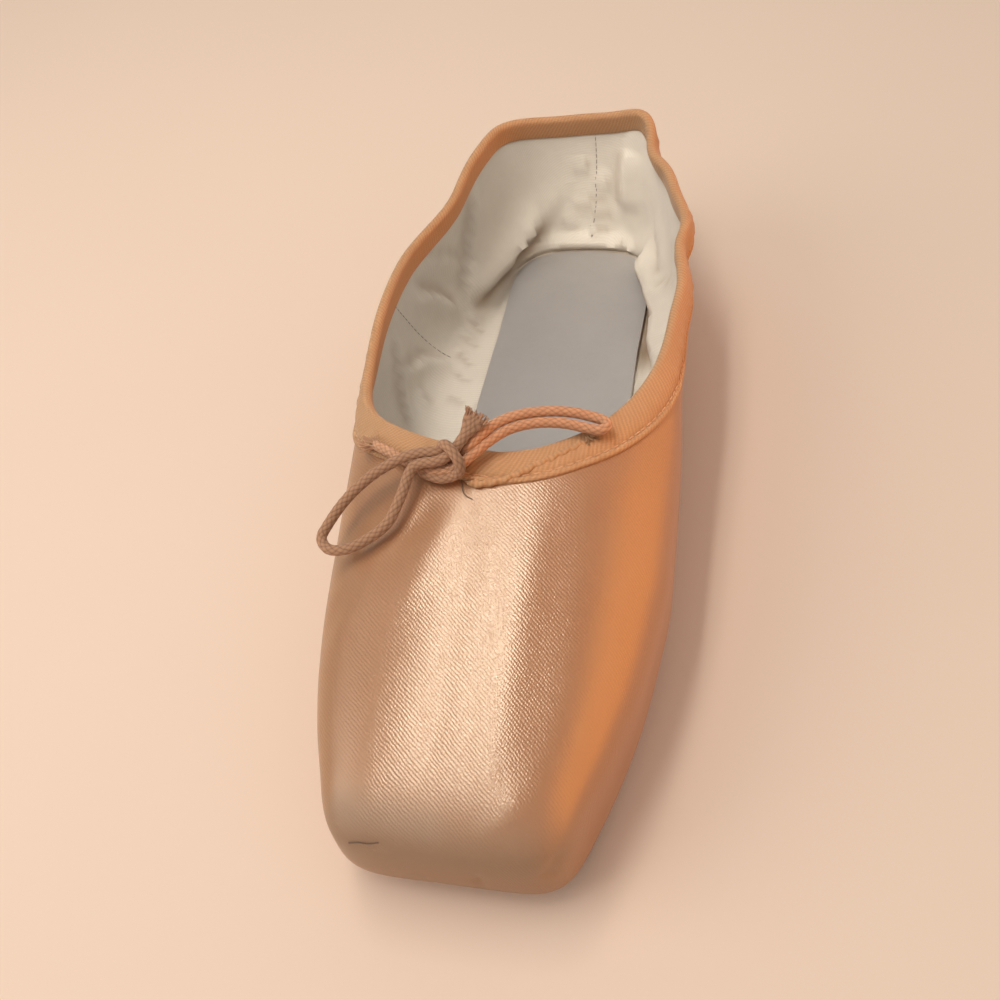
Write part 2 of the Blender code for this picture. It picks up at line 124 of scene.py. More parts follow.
COLLAR = (
    (0.378, 90.0, 90.0),
    (0.384, 78.0, 80.0),
    (0.400, 64.0, 70.0),
    (0.425, 50.0, 60.0),
    (0.455, 37.0, 52.0),
    (0.495, 25.0, 43.0),
    (0.545, 17.0, 33.0),
    (0.610, 12.0, 22.0),
    (0.690, 7.0, 14.0),
    (0.770, 3.0, 10.0),
    (0.850, 5.0, 8.0),
    (0.920, 10.0, 9.0),
    (1.000, 12.5, 12.5),
)
OUTLINE_COLUMNS = ("share", "half")
OUTSOLE = (
    (0.080, 0.400),
    (0.130, 0.500),
    (0.200, 0.580),
    (0.290, 0.585),
    (0.390, 0.500),
    (0.500, 0.370),
    (0.620, 0.300),
    (0.720, 0.330),
    (0.820, 0.410),
    (0.900, 0.430),
    (0.960, 0.420),
)
INSOLE = (
    (0.110, 0.560),
    (0.200, 0.660),
    (0.300, 0.680),
    (0.400, 0.640),
    (0.500, 0.590),
    (0.620, 0.555),
    (0.740, 0.550),
    (0.860, 0.560),
    (0.968, 0.540),
)

# Soft troughs (depth above 0) and ridges (below 0) of the satin, in millimetres: from, to, half width, depth.
SATIN_CREASES = (
    ((-13, -40, 49), (-25, -60, 43), 3.0, 0.60),
    ((-8, -40, 50), (-18, -70, 43), 3.5, -0.30),
    ((-26, -48, 45), (-37, -74, 32), 3.5, 0.40),
    ((-3, -38, 51), (-5, -108, 33), 3.0, 0.16),
    ((11, -36, 49), (8, -106, 33), 3.5, -0.20),
    ((18, -40, 46), (16, -106, 31), 4.0, 0.30),
    ((-31, -20, 48), (-34, -34, 44), 1.6, 0.45),
    ((-28, -22, 48), (-29, -38, 45), 1.4, 0.30),
    ((5, -118, 7), (6, -116, 17), 1.2, 0.80),
    ((24, -112, 25), (20, -115, 16), 2.4, 0.90),
    ((6, -116, 30), (17, -104, 33), 2.5, -0.35),
    ((-22, -114, 24), (-12, -115, 26), 1.3, 0.30),
    ((-16, -116, 12), (0, -117, 10), 2.2, 0.30),
    ((37, 30, 30), (36, 60, 24), 5.0, 0.50),
    ((-42, 62, 30), (-40, 30, 20), 6.0, 0.60),
)

# Folds of the canvas inside, in millimetres: the line of the crest, how far the fold falls off on the left and on
# the right of that line, seen from inside the shoe, and how far it stands into the shoe.
LINING_FOLDS = (
    (((-30, 94, 44), (-31, 88, 35), (-32, 83, 27), (-33, 76, 20), (-34, 72, 14)), 8.0, 2.4, 2.6),
    (((-12, 113, 20), (-20, 107, 13), (-26.5, 97, 10.5), (-31, 85, 11.5), (-34.5, 72, 14)), 3.0, 8.0, 6.0),
    (((-42, 60, 39), (-39, 72, 32), (-35, 78, 25)), 1.8, 4.5, 2.2),
    (((-43, 51, 35), (-39.5, 61, 25.5), (-35, 67, 15)), 2.2, 6.0, 3.8),
    (((-43, 25, 26), (-40.5, 39, 19.5), (-34, 48, 11)), 1.8, 5.0, 2.6),
    (((-43, 34, 34), (-42, 22, 24), (-37, 14, 13)), 3.5, 1.6, 2.2),
    (((-43, 30, 15), (-38, 26, 11)), 1.6, 3.2, 1.6),
    (((-34, 71, 10), (-27, 67, 6)), 2.6, 1.2, 2.9),
    (((-34, 62, 10), (-27, 59, 7)), 2.4, 1.1, 3.0),
    (((-34, 53, 10), (-27, 50, 7.5)), 2.6, 1.2, 2.6),
    (((-33, 45, 10), (-27, 42, 8)), 2.2, 1.1, 2.4),
    (((-33, 34, 10), (-27, 33, 8)), 2.2, 1.3, 1.8),
    (((-4, 114, 35), (3.5, 114, 37.5)), 1.5, 1.0, 1.7),
    (((3.5, 114, 28.5), (10, 114, 31)), 1.5, 1.0, 1.8),
    (((1, 114, 24), (8, 114, 24.5)), 1.4, 0.9, 1.7),
    (((-4, 114, 20.5), (3, 114, 21.5)), 1.4, 0.9, 1.4),
    (((2, 114, 17.5), (9.5, 113, 18.5)), 1.6, 1.0, 2.0),
    (((0.5, 113, 11.5), (8.5, 113, 13)), 1.8, 1.1, 2.0),
    (((-9, 113, 15), (-2, 114, 14)), 1.6, 1.1, 1.3),
    (((12, 112, 9), (17, 109, 5)), 2.0, 1.2, 1.8),
    (((-23, 95, 6), (-19.5, 106, 6), (-10, 111.5, 6.5), (0, 113.5, 7), (10, 112.5, 6.5), (19, 107, 6)), 3.0, 2.6, 3.0),
    (((15.5, 112, 44), (13.5, 113, 31), (14, 113, 20)), 7.0, 1.8, 2.4),
    (((19, 106, 9), (25.5, 95, 9.5), (28, 80, 10), (28.5, 62, 11), (28, 44, 11.5)), 5.5, 5.0, 8.6),
    (((21, 82, 7), (25, 70, 7.5), (29, 59, 10.5)), 1.7, 1.2, -3.2),
    (((28, 82, 13), (32.5, 75, 20)), 1.2, 2.4, 2.6),
    (((27, 101, 24), (30.5, 84, 17)), 4.0, 2.0, 2.6),
)
LINING_SINKS_MOST = 0.4
# FOLD_IN_FULL_SHADE and FOLD_SHADED_AT set the painted shade under each fold's steep side: the fold height that takes
# full shade, and how many widths from the crest the shade lies.
FOLD_IN_FULL_SHADE = 0.0065
FOLD_SHADED_AT = 1.2
FOLD_REACH = 2.6
KEPT_AT_ENDS = 0.25
FOLDS_FADE_ABOVE_SOLE = (0.0014, 0.0032)

# Where the sewn seams run: narrow troughs of the satin, and lines of stitches on the canvas, in millimetres.
SEAMS = (
    ((0, 117, 56), (0, 117, 3), 0.5, 0.40),
    ((-47, 45, 46), (-44, 46, 6), 0.5, 0.35),
    ((42, 45, 46), (36, 46, 6), 0.5, 0.35),
)
SEAM_SHARE = 0.6955
LINING_SEAMS = (
    ((5.5, 115, 49), (5, 115, 35), (3.8, 115, 21), (1.5, 114, 7)),
    ((-45, 38, 42), (-44, 43.5, 30), (-39.5, 48, 16), (-36, 49, 9)),
    ((39, 44, 41), (38, 46, 28), (36, 47, 12)),
)

# How the soft collar is pulled out of the last's even line, in millimetres: centre, reach, pull.
COLLAR_PULLS = (
    ((-22, 110, 52), 9.0, (-2.0, 0.5, 0.4)),
    ((21, 112, 52), 8.0, (1.8, 1.5, 3.0)),
    ((28, 99, 52), 6.0, (-2.2, -0.5, -0.4)),
    ((37, 68, 44), 9.0, (1.8, 0.0, 0.0)),
    ((37, 57, 43), 5.0, (-1.4, 0.0, 0.0)),
    ((38, 40, 42), 10.0, (1.5, 0.0, 0.0)),
    ((-38, 78, 48), 14.0, (3.0, 0.0, 0.0)),
    ((-8, 114, 53), 9.0, (0.0, 0.0, -0.8)),
)


def in_row(point):
    """A point of the last's frame, in the row's frame."""
    return Vector(point) + SHIFT


def row_points(table):
    """Points in millimetres of the last's frame, as points of the row's frame."""
    return [in_row(Vector(point) * MM) for point in table]


def middle_of(node, axis):
    low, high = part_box(node)
    return (low[axis] + high[axis]) / 2


SHIFT = Vector((middle_of("outsole", 0), middle_of("upper", 1), 0.0))


class ShoeSizes(PropertyGroup):
    """Sizes that a user may change."""

    cord_diameter: FloatProperty(
        name="Drawstring", description="Diameter of the drawstring", default=0.0025, min=0.0015, max=0.004,
        subtype="DISTANCE", unit="LENGTH",
    )
    stitch_length: FloatProperty(
        name="Stitch", description="Length of one stitch", default=0.0021, min=0.001, max=0.005,
        subtype="DISTANCE", unit="LENGTH",
    )
    crease_depth: FloatProperty(
        name="Creases", description="How deep the creases of satin and lining are", default=1.0, min=0.0, max=2.0,
        subtype="FACTOR",
    )


def colour_property(name, description, colour):
    return FloatVectorProperty(
        name=name, description=description, default=colour, size=3, min=0.0, max=1.0, subtype="COLOR"
    )


class ShoeColours(PropertyGroup):
    """Colours that a user may change."""

    satin: colour_property("Satin", "Colour of the satin", (0.300, 0.137, 0.059))
    tape: colour_property("Tape", "Colour of the casing tape", (0.435, 0.245, 0.122))
    cord: colour_property("Drawstring", "Colour of the drawstring", (0.55, 0.30, 0.175))
    lining: colour_property("Lining", "Colour of the canvas lining", (0.66, 0.60, 0.52))
    board: colour_property("Insole", "Colour of the insole board", (0.49, 0.47, 0.46))
    leather: colour_property("Outsole", "Colour of the sole leather", (0.55, 0.38, 0.24))
    floor: colour_property("Floor", "Colour of the floor", (1.0, 0.785, 0.635))


def sizes():
    return bpy.context.scene.shoe_sizes


def colours():
    return bpy.context.scene.shoe_colours


def column(table, columns, name, at):
    """The value of a table's column at a share of the length, on a smooth curve through the rows."""
    shares = [row[0] for row in table]
    values = [row[columns.index(name)] for row in table]
    at = min(max(at, shares[0]), shares[-1])
    last = len(shares) - 1
    i = min(max(k for k in range(len(shares)) if shares[k] <= at), last - 1)

    def slope(k):
        if k in (0, last):
            near = 1 if k == 0 else last - 1
            return (values[near] - values[k]) / (shares[near] - shares[k])
        before = (values[k] - values[k - 1]) / (shares[k] - shares[k - 1])
        after = (values[k + 1] - values[k]) / (shares[k + 1] - shares[k])
        return 0.0 if before * after <= 0 else 2 * before * after / (before + after)

    step = shares[i + 1] - shares[i]
    t = (at - shares[i]) / step
    start = values[i] * (1 + 2 * t) * (1 - t) ** 2 + slope(i) * step * t * (1 - t) ** 2
    end = values[i + 1] * t * t * (3 - 2 * t) - slope(i + 1) * step * t * t * (1 - t)
    return start + end


def smooth(low, high, value):
    """0 below low, 1 above high and a smooth change between."""
    t = min(max((value - low) / (high - low), 0.0), 1.0)
    return t * t * (3 - 2 * t)


def distances_along(points):
    """How far each point lies along a line of points."""
    travelled = [0.0]
    for a, b in zip(points, points[1:]):
        travelled.append(travelled[-1] + (b - a).length)
    return travelled


def spread_evenly(points, count, travelled):
    """The ends of that many equal steps along a line of points, with its start."""
    made, i = [], 0
    for k in range(count + 1):
        wanted = travelled[-1] * k / count
        while i < len(points) - 2 and travelled[i + 1] <= wanted:
            i += 1
        share = (wanted - travelled[i]) / (travelled[i + 1] - travelled[i])
        made.append(points[i].lerp(points[i + 1], min(share, 1.0)))
    return made


def y_of(share):
    return (share - 0.5) * SHOE_LENGTH


def share_of(y):
    return y / SHOE_LENGTH + 0.5


def last_value(name, y):
    return column(LAST, LAST_COLUMNS, name, share_of(y))


def half_width(side, y):
    return last_value("left" if side < 0 else "right", y) * BALL_WIDTH / 2


def feather_half(y):
    return last_value("feather", y) * BALL_WIDTH / 2


def floor_clearance(y):
    return last_value("arch", y) * ARCH_RISE + last_value("spring", y) * TOE_SPRING


def underside(y):
    return floor_clearance(y) + OUTSOLE_THICKNESS + SEAM_GAP


def wall(y):
    stiff = smooth(-BOX_END, -BOX_FULL, -share_of(y))
    return UPPER_WALL + (TOE_WALL - UPPER_WALL) * stiff


def insole_seat(y):
    return underside(y) + wall(y) + SEAM_GAP


def rounded(angle, power):
    """A point on a unit superellipse in the direction of an angle."""
    c, s = math.cos(angle), math.sin(angle)
    size = (abs(c) ** power + abs(s) ** power) ** (-1 / power)
    return c * size, s * size


def outline_half(table, y, front_corner, back_corner, inset=0.0):
    front, back = y_of(table[0][0]) + inset, y_of(table[-1][0]) - inset
    if not front < y < back:
        return 0.0
    half = column(table, OUTLINE_COLUMNS, "half", share_of(y)) * BALL_WIDTH / 2 - inset
    for reach, power in ((y - front, front_corner), (back - y, back_corner)):
        if reach < half:
            half *= (1 - (1 - reach / half) ** power) ** (1 / power)
    return half


def sole_half(y, inset=0.0):
    return outline_half(OUTSOLE, y, SOLE_TIP_CORNER, HEEL_CORNER, inset)


def insole_half(y, inset=0.0):
    inside = feather_half(y) - INSOLE_INSET - inset
    return min(inside, outline_half(INSOLE, y, SOLE_TIP_CORNER, HEEL_CORNER, inset))


def share_inside(half_at, spine, rim):
    low, high = 0.0, 1.0
    for _ in range(BISECTIONS):
        middle = (low + high) / 2
        point = spine.lerp(rim, middle)
        if abs(point.x) < half_at(point.y):
            low = middle
        else:
            high = middle
    return low


def spine_and_rim(kind, at, side):
    if kind == "side":
        y = y_of(at)
        return Vector((0, y, 0)), Vector((side * half_width(side, y), y, 0))
    toe = kind == "toe"
    middle = y_of(TOE_CENTRE if toe else HEEL_CENTRE)
    end = y_of(0.0 if toe else 1.0)
    across, along = rounded(at, TOE_CORNER if toe else HEEL_CORNER)
    y = middle + (end - middle) * along
    return Vector((0, middle, 0)), Vector((side * half_width(side, y) * across, y, 0))


def collar_turn(side, y):
    if share_of(y) <= COLLAR[0][0]:
        return math.pi / 2
    name = "left_deg" if side < 0 else "right_deg"
    return math.radians(column(COLLAR, COLLAR_COLUMNS, name, share_of(y)))


def height_of_widest(y):
    """Where a section is widest, as a share of its height from the underside to the crest."""
    low = underside(y)
    top = last_value("crest", y) * THROAT_HEIGHT
    return (last_value("widest", y) * THROAT_HEIGHT - low) / (top - low)


def on_upper_wall(spine, rim, turn, widest):
    """A point of a section above its widest place, by its turn towards the crest."""
    c, s = rounded(turn, last_value("square", rim.y))
    return on_last(spine, rim, c, widest + (1 - widest) * s)


def on_last(spine, rim, across, rise):
    point = spine.lerp(rim, across)
    low = underside(point.y)
    point.z = low + rise * (last_value("crest", point.y) * THROAT_HEIGHT - low)
    return point


# How finely each sheet over the last is divided: ribs over one pleat, up to the throat, behind it and round half
# the heel, then rows up to the sole's edge, over the pleats, up the lower wall and up the upper wall.
DIVISIONS_COLUMNS = ("pleat", "front", "behind", "heel", "sole_rows", "pleat_rows", "lower_rows", "upper_rows")
SATIN_DIVISIONS = dict(zip(DIVISIONS_COLUMNS, (8, 14, 74, 26, 2, 7, 11, 32)))
LINING_DIVISIONS = dict(zip(DIVISIONS_COLUMNS, (2, 14, 118, 42, 2, 4, 18, 50)))
THROAT_CROWDING = 1.6
SEAM_RIB = 0.00035
SEAM_RIB_TURN = 0.011
ARC_SAMPLES = 24


def pleat_profile(share):
    """The height across one pleat: a slow rise, then the fold tucks under."""
    return smooth(0.0, PLEAT_TUCK, share) * (1 - smooth(PLEAT_TUCK, 1.0, share))


def fine_ribs(divisions):
    """The ribs of half the last, as part.py's, but finer: kind, place and height on the pleat."""
    made = []
    turn = math.pi / 2 / PLEATS_ROUND_TOE
    spacing = PLEAT_SPACING / SHOE_LENGTH
    throat = COLLAR[0][0]
    shares = [k / divisions["pleat"] for k in range(divisions["pleat"])]
    for pleat in range(PLEATS_ROUND_TOE):
        for share in shares:
            made.append(("toe", math.pi / 2 - (pleat + share) * turn, pleat_profile(share)))
    for pleat in range(PLEATS_ON_SIDE):
        for share in shares:
            made.append(("side", TOE_CENTRE + (pleat + share) * spacing, pleat_profile(share)))
    first = TOE_CENTRE + PLEATS_ON_SIDE * spacing
    for k in range(divisions["front"]):
        made.append(("side", first + (throat - first) * k / divisions["front"], 0.0))
    behind = [
        throat + (HEEL_CENTRE - throat) * (k / divisions["behind"]) ** THROAT_CROWDING
        for k in range(divisions["behind"])
    ]
    seam = [SEAM_SHARE + step * SEAM_RIB / SHOE_LENGTH for step in (-3, -2, -1, 0, 1, 2, 3)]
    behind = [share for share in behind if not seam[0] <= share <= seam[-1]] + seam
    made += [("side", share, 0.0) for share in sorted(behind)]
    for k in range(divisions["heel"]):
        made.append(("heel", math.pi / 2 * k / divisions["heel"], 0.0))
    for step in (3, 2, 1, 0):
        made.append(("heel", math.pi / 2 - step * SEAM_RIB_TURN, 0.0))
    return made


def fine_rib(divisions, kind, at, side, pleat):
    """The outside of the upper along one rib, from the edge of its opening underneath to its top."""
    spine, rim = spine_and_rim(kind, at, side)
    opening = share_inside(lambda y: sole_half(y, LASTING_MARGIN), spine, rim)
    sole_edge = share_inside(lambda y: sole_half(y, -PLEAT_START), spine, rim)
    own, other = half_width(side, rim.y), half_width(-side, rim.y)
    round_the_end = 1 - min(abs(rim.x) / own, 1.0)
    feather = feather_half(rim.y) / (own + (other - own) * round_the_end / 2)
    widest = height_of_widest(rim.y)
    points = []
    for k in range(divisions["sole_rows"]):
        points.append(on_last(spine, rim, opening + (sole_edge - opening) * k / divisions["sole_rows"], 0.0))
    for k in range(divisions["pleat_rows"]):
        share = k / divisions["pleat_rows"]
        point = on_last(spine, rim, sole_edge + (feather - sole_edge) * share, 0.0)
        point.z -= pleat * PLEAT_HEIGHT * smooth(0.0, 0.4, share) * (1 - (1 - PLEAT_ON_WALL) * smooth(0.4, 1.0, share))
        points.append(point)
    for k in range(divisions["lower_rows"]):
        share = k / divisions["lower_rows"]
        c, s = rounded(math.pi / 2 * share, LOWER_WALL_POWER)
        point = on_last(spine, rim, feather + (1 - feather) * s, widest * (1 - c))
        point.z -= pleat * PLEAT_HEIGHT * PLEAT_ON_WALL * (1 - smooth(0.0, PLEAT_WALL_SHARE, share))
        points.append(point)
    turn = collar_turn(side, rim.y)
    for k in range(divisions["upper_rows"] + 1):
        points.append(on_upper_wall(spine, rim, turn * k / divisions["upper_rows"], widest))
    return points


def hidden_arc(kind, at, side):
    """The length of the section over the crest that a rib of the open part leaves out."""
    spine, rim = spine_and_rim(kind, at, side)
    turn = collar_turn(side, rim.y)
    widest = height_of_widest(rim.y)
    turns = [turn + (math.pi / 2 - turn) * k / ARC_SAMPLES for k in range(ARC_SAMPLES + 1)]
    return distances_along([on_upper_wall(spine, rim, part, widest) for part in turns])[-1]


def cloth_places(kind, at, side, points):
    """Where each point of a rib lies on the flat cloth: the distance from the spine over the surface, outwards."""
    spine, rim = spine_and_rim(kind, at, side)
    outwards = (rim - spine).to_2d().normalized()
    length = hidden_arc(kind, at, side)
    places = [None] * len(points)
    for k in range(len(points) - 1, -1, -1):
        if k < len(points) - 1:
            length += (points[k + 1] - points[k]).length
        places[k] = spine.to_2d() + outwards * length
    return places


def select_none():
    if bpy.context.mode != "OBJECT":
        bpy.ops.object.mode_set(mode="OBJECT")
    bpy.ops.object.select_all(action="DESELECT")


def make_active(piece):
    select_none()
    piece.select_set(True)
    bpy.context.view_layer.objects.active = piece


def apply_modifiers(piece):
    make_active(piece)
    for modifier in list(piece.modifiers):
        bpy.ops.object.modifier_apply(modifier=modifier.name)


def new_grid(name, columns, rows):
    """A flat grid of that many faces each way, with its UV map, and each vertex's column and row."""
    select_none()
    bpy.ops.mesh.primitive_grid_add(x_subdivisions=columns, y_subdivisions=rows, size=1.0, location=(0, 0, 0))
    piece = bpy.context.object
    piece.name = name
    piece.data.name = name
    cells = [
        (round((v.co.x + 0.5) * columns), round((v.co.y + 0.5) * rows))
        for v in piece.data.vertices
    ]
    return piece, cells


def merge_doubles(piece, recalculate=False):
    make_active(piece)
    bpy.ops.object.mode_set(mode="EDIT")
    bpy.ops.mesh.select_all(action="SELECT")
    bpy.ops.mesh.remove_doubles(threshold=MERGED_WITHIN)
    if recalculate:
        bpy.ops.mesh.select_all(action="SELECT")
        bpy.ops.mesh.normals_make_consistent(inside=False)
    bpy.ops.object.mode_set(mode="OBJECT")


def send_grid(piece, cells, lines, places):
    """Moves a grid's vertices onto lines of points and its UV map onto places, both by column and row."""
    mesh = piece.data
    for vertex, (i, j) in zip(mesh.vertices, cells):
        vertex.co = lines[i][j]
    layer = mesh.uv_layers[0].data
    for loop in mesh.loops:
        i, j = cells[loop.vertex_index]
        layer[loop.index].uv = places[i][j]
    mesh.update()


def set_wall(piece, thickness, offset):
    thicken = piece.modifiers.new("wall", "SOLIDIFY")
    thicken.thickness = thickness
    thicken.offset = offset
    thicken.use_rim = True
    apply_modifiers(piece)


def finish_piece(piece, degrees, material):
    """Shades a piece smooth up to an angle, and gives it its material, its body and its slot."""
    make_active(piece)
    bpy.ops.object.shade_smooth_by_angle(angle=math.radians(degrees))
    piece.data.materials.clear()
    piece.data.materials.append(material)
    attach(piece, "root")


def hump(distance, width):
    """1 on a line, falling softly to nothing at about twice a width from it."""
    return math.exp(-((distance / width) ** 2))


def fade_at_ends(place, share):
    """1 along a line, falling to 0 over that share of it at each end."""
    return smooth(0.0, share, place) * (1 - smooth(1 - share, 1.0, place))


def held(fade):
    """A crease's height where it fades: a part of it is kept up to its very end."""
    return KEPT_AT_ENDS + (1 - KEPT_AT_ENDS) * fade


def segment_distance(point, start, end):
    """How far a point is from a segment, and how far along the segment its nearest place is."""
    line = end - start
    along = min(max((point - start).dot(line) / line.length_squared, 0.0), 1.0)
    return (start + line * along - point).length, along


def crease_depth_at(point, creases):
    """How far the surface sinks at a point: soft troughs and ridges, each fading towards its ends."""
    total = 0.0
    for start, end, width, depth in creases:
        distance, along = segment_distance(point, start, end)
        if distance < 3 * width:
            total += depth * hump(distance, width) * held(fade_at_ends(along, 0.25))
    return total * sizes().crease_depth


def creases_in_row(table):
    return [(*row_points((start, end)), width * MM, depth * MM) for start, end, width, depth in table]


def folds_in_row(table):
    """Folds with their lines in the row's frame, and a ball round each that holds all it moves."""
    made = []
    for line, left, right, height in table:
        line = row_points(line)
        middle = sum(line, Vector()) / len(line)
        reach = max((point - middle).length for point in line) + FOLD_REACH * max(left, right) * MM
        made.append((line, left * MM, right * MM, height * MM, middle, reach))
    return made


def fold_at(point, facing, folds):
    """How far the canvas stands into the shoe at a point of it that faces outwards in that direction, and how
    shaded the place is under a fold's steep side."""
    total = shaded = 0.0
    for line, left, right, height, middle, reach in folds:
        if (point - middle).length > reach:
            continue
        distance, along, start, end, k = min(
            (segment_distance(point, a, b) + (a, b, k) for k, (a, b) in enumerate(zip(line, line[1:]))),
            key=lambda found: found[0],
        )
        offset = point - start.lerp(end, along)
        width = left if (end - start).cross(facing).dot(offset) > 0 else right
        place = (k + along) / (len(line) - 1)
        fade = fade_at_ends(place, 0.2)
        total += height * hump(distance, width) * held(fade)
        if width == min(left, right):
            under = hump(distance / width - FOLD_SHADED_AT, 1.0)
            shaded += under * fade * min(abs(height) / FOLD_IN_FULL_SHADE, 1.0)
    clear = smooth(*FOLDS_FADE_ABOVE_SOLE, point.z - underside(point.y - SHIFT.y))
    return max(total * sizes().crease_depth, -LINING_SINKS_MOST * MM) * clear, min(shaded, 1.0)


def move_along_normals(mesh, distances):
    moves = [vertex.normal * distance for vertex, distance in zip(mesh.vertices, distances)]
    for vertex, move in zip(mesh.vertices, moves):
        vertex.co += move
    mesh.update()


def keep_soil_and_painted_shade(mesh, values):
    """Keeps in the soil attribute how soiled or shaded each vertex is."""
    layer = mesh.attributes.new("soil_and_painted_shade", "FLOAT", "POINT")
    for place, value in zip(layer.data, values):
        place.value = value


def raise_folds(lining, folds):
    """Moves the canvas into its folds, and keeps how shaded each place is."""
    mesh = lining.data
    found = [fold_at(vertex.co, vertex.normal, folds) for vertex in mesh.vertices]
    keep_soil_and_painted_shade(mesh, [shaded for _, shaded in found])
    move_along_normals(mesh, [-height for height, _ in found])


def sink(piece, depth_at):
    """Moves each vertex inwards along its normal by depth_at(its place, its normal)."""
    mesh = piece.data
    move_along_normals(mesh, [-depth_at(vertex.co, vertex.normal) for vertex in mesh.vertices])


def pulled(point):
    """A point of the row's frame after the pulls on the soft collar."""
    moved = point.copy()
    for centre, reach, pull in COLLAR_PULLS:
        far = (point - in_row(Vector(centre) * MM)).length / (reach * MM)
        if far < 3:
            moved += Vector(pull) * MM * hump(far, 1.0)
    return moved


def last_skin(name, divisions):
    """A sheet over the outside of the last, with its cloth places as its UV map, closed at the toe's pole."""
    half = fine_ribs(divisions)
    plan = [(kind, at, -1, pleat) for kind, at, pleat in reversed(half)]
    plan += [(kind, at, 1, pleat) for kind, at, pleat in half[1:]]
    lines = [fine_rib(divisions, *spot) for spot in plan]
    places = [
        [place.yx for place in cloth_places(kind, at, side, line)]
        for (kind, at, side, _), line in zip(plan, lines)
    ]
    lines = [[pulled(in_row(point)) for point in line] for line in lines]
    piece, cells = new_grid(name, len(lines) - 1, len(lines[0]) - 1)
    send_grid(piece, cells, lines, places)
    merge_doubles(piece)
    if piece.data.vertices[0].normal.dot(piece.data.vertices[0].co - in_row((0, 0, 0.03))) < 0:
        piece.data.flip_normals()
    return piece


def skin_of(piece):
    """The surface of a sheet, kept for laying other pieces on it."""
    mesh = piece.data.copy()
    tree = BVHTree.FromPolygons([v.co for v in mesh.vertices], [tuple(p.vertices) for p in mesh.polygons])
    return tree, mesh


def nearest_on(skin, point):
    """The nearest place on a skin and the direction that its surface faces there."""
    tree, mesh = skin
    spot, _, index, _ = tree.find_nearest(point)
    corners = [mesh.vertices[v] for v in mesh.polygons[index].vertices]
    weights = poly_3d_calc([corner.co for corner in corners], spot)
    facing = Vector()
    for corner, weight in zip(corners, weights):
        facing += corner.normal * weight
    return spot, facing.normalized()


SKINS = {}


def satin_skin():
    if "satin" not in SKINS:
        raise RuntimeError("the satin upper is made before what lies on it")
    return SKINS["satin"]


# The camera: where it stands and looks, its roll and its lens, fitted to the photograph.
CAMERA_PLACE = (0.0568, -0.2040, 0.2436)
CAMERA_FORWARD = (-0.2115, 0.6295, -0.7476)
CAMERA_ROLL = -11.49
CAMERA_LENS = 40.7


def make_camera():
    data = bpy.data.cameras.new("camera")
    data.lens = CAMERA_LENS
    data.sensor_width = 36.0
    data.clip_start = 0.01
    camera = bpy.data.objects.new("camera", data)
    bpy.context.scene.collection.objects.link(camera)
    forward = Vector(CAMERA_FORWARD).normalized()
    level_right = forward.cross(UP).normalized()
    level_up = level_right.cross(forward)
    turn = math.radians(CAMERA_ROLL)
    right = level_right * math.cos(turn) + level_up * math.sin(turn)
    up = right.cross(forward)
    place = in_row(CAMERA_PLACE)
    camera.matrix_world = Matrix((
        (right.x, up.x, -forward.x, place.x),
        (right.y, up.y, -forward.y, place.y),
        (right.z, up.z, -forward.z, place.z),
        (0, 0, 0, 1),
    ))
    bpy.context.scene.camera = camera


def aimed(place, aim, upwards):
    """A light's frame at a place, looking at a point, with its length towards upwards."""
    back = (Vector(place) - Vector(aim)).normalized()
    across = Vector(upwards).cross(back).normalized()
    along = back.cross(across)
    return Matrix((
        (across.x, along.x, back.x, place[0]),
        (across.y, along.y, back.y, place[1]),
        (across.z, along.z, back.z, place[2]),
        (0, 0, 0, 1),
    ))


def hang(name, kind, place, aim, upwards, power, colour, **shape):
    """A light of a kind and a shape at a place, aimed at a point, its length towards upwards."""
    data = bpy.data.lights.new(name, kind)
    data.energy = power
    data.color = colour
    for setting, value in shape.items():
        setattr(data, setting, value)
    light = bpy.data.objects.new(name, data)
    bpy.context.scene.collection.objects.link(light)
    light.matrix_world = aimed(place, aim, upwards)
    return light


# Node helpers.


def add_node(tree, kind, inputs=None, **settings):
    """A node with its settings, and its inputs as values or as the sockets that feed them."""
    made = tree.nodes.new(kind)
    for name, value in settings.items():
        setattr(made, name, value)
    for name, value in (inputs or {}).items():
        if isinstance(value, bpy.types.NodeSocket):
            tree.links.new(value, made.inputs[name])
        else:
            made.inputs[name].default_value = value
    return made


def calc(tree, operation, first, second=0.0, third=0.0):
    return add_node(tree, "ShaderNodeMath", {0: first, 1: second, 2: third}, operation=operation).outputs[0]


def blend(tree, factor, first, second):
    """A colour between two, each a socket or three channels."""
    first, second = (
        value if isinstance(value, bpy.types.NodeSocket) else (*value, 1.0) for value in (first, second)
    )
    return add_node(tree, "ShaderNodeMix", {0: factor, 6: first, 7: second}, data_type="RGBA").outputs[2]


def ramp(tree, value, low, high, start=0.0, end=1.0):
    return add_node(
        tree, "ShaderNodeMapRange",
        {"Value": value, "From Min": low, "From Max": high, "To Min": start, "To Max": end},
        interpolation_type="SMOOTHSTEP",
    ).outputs[0]


def noise(tree, vector, scale, detail=3.0, rough=0.5):
    return add_node(
        tree, "ShaderNodeTexNoise", {"Vector": vector, "Scale": scale, "Detail": detail, "Roughness": rough}
    ).outputs[0]


def new_group(name, inputs, outputs):
    """A shader node group with its sockets, and its two ends. Inputs are name, type and default."""
    group = bpy.data.node_groups.new(name, "ShaderNodeTree")
    for label, kind, default in inputs:
        made = group.interface.new_socket(label, in_out="INPUT", socket_type=kind)
        if default is not None:
            made.default_value = default
    for label, kind in outputs:
        group.interface.new_socket(label, in_out="OUTPUT", socket_type=kind)
    return group, group.nodes.new("NodeGroupInput"), group.nodes.new("NodeGroupOutput")


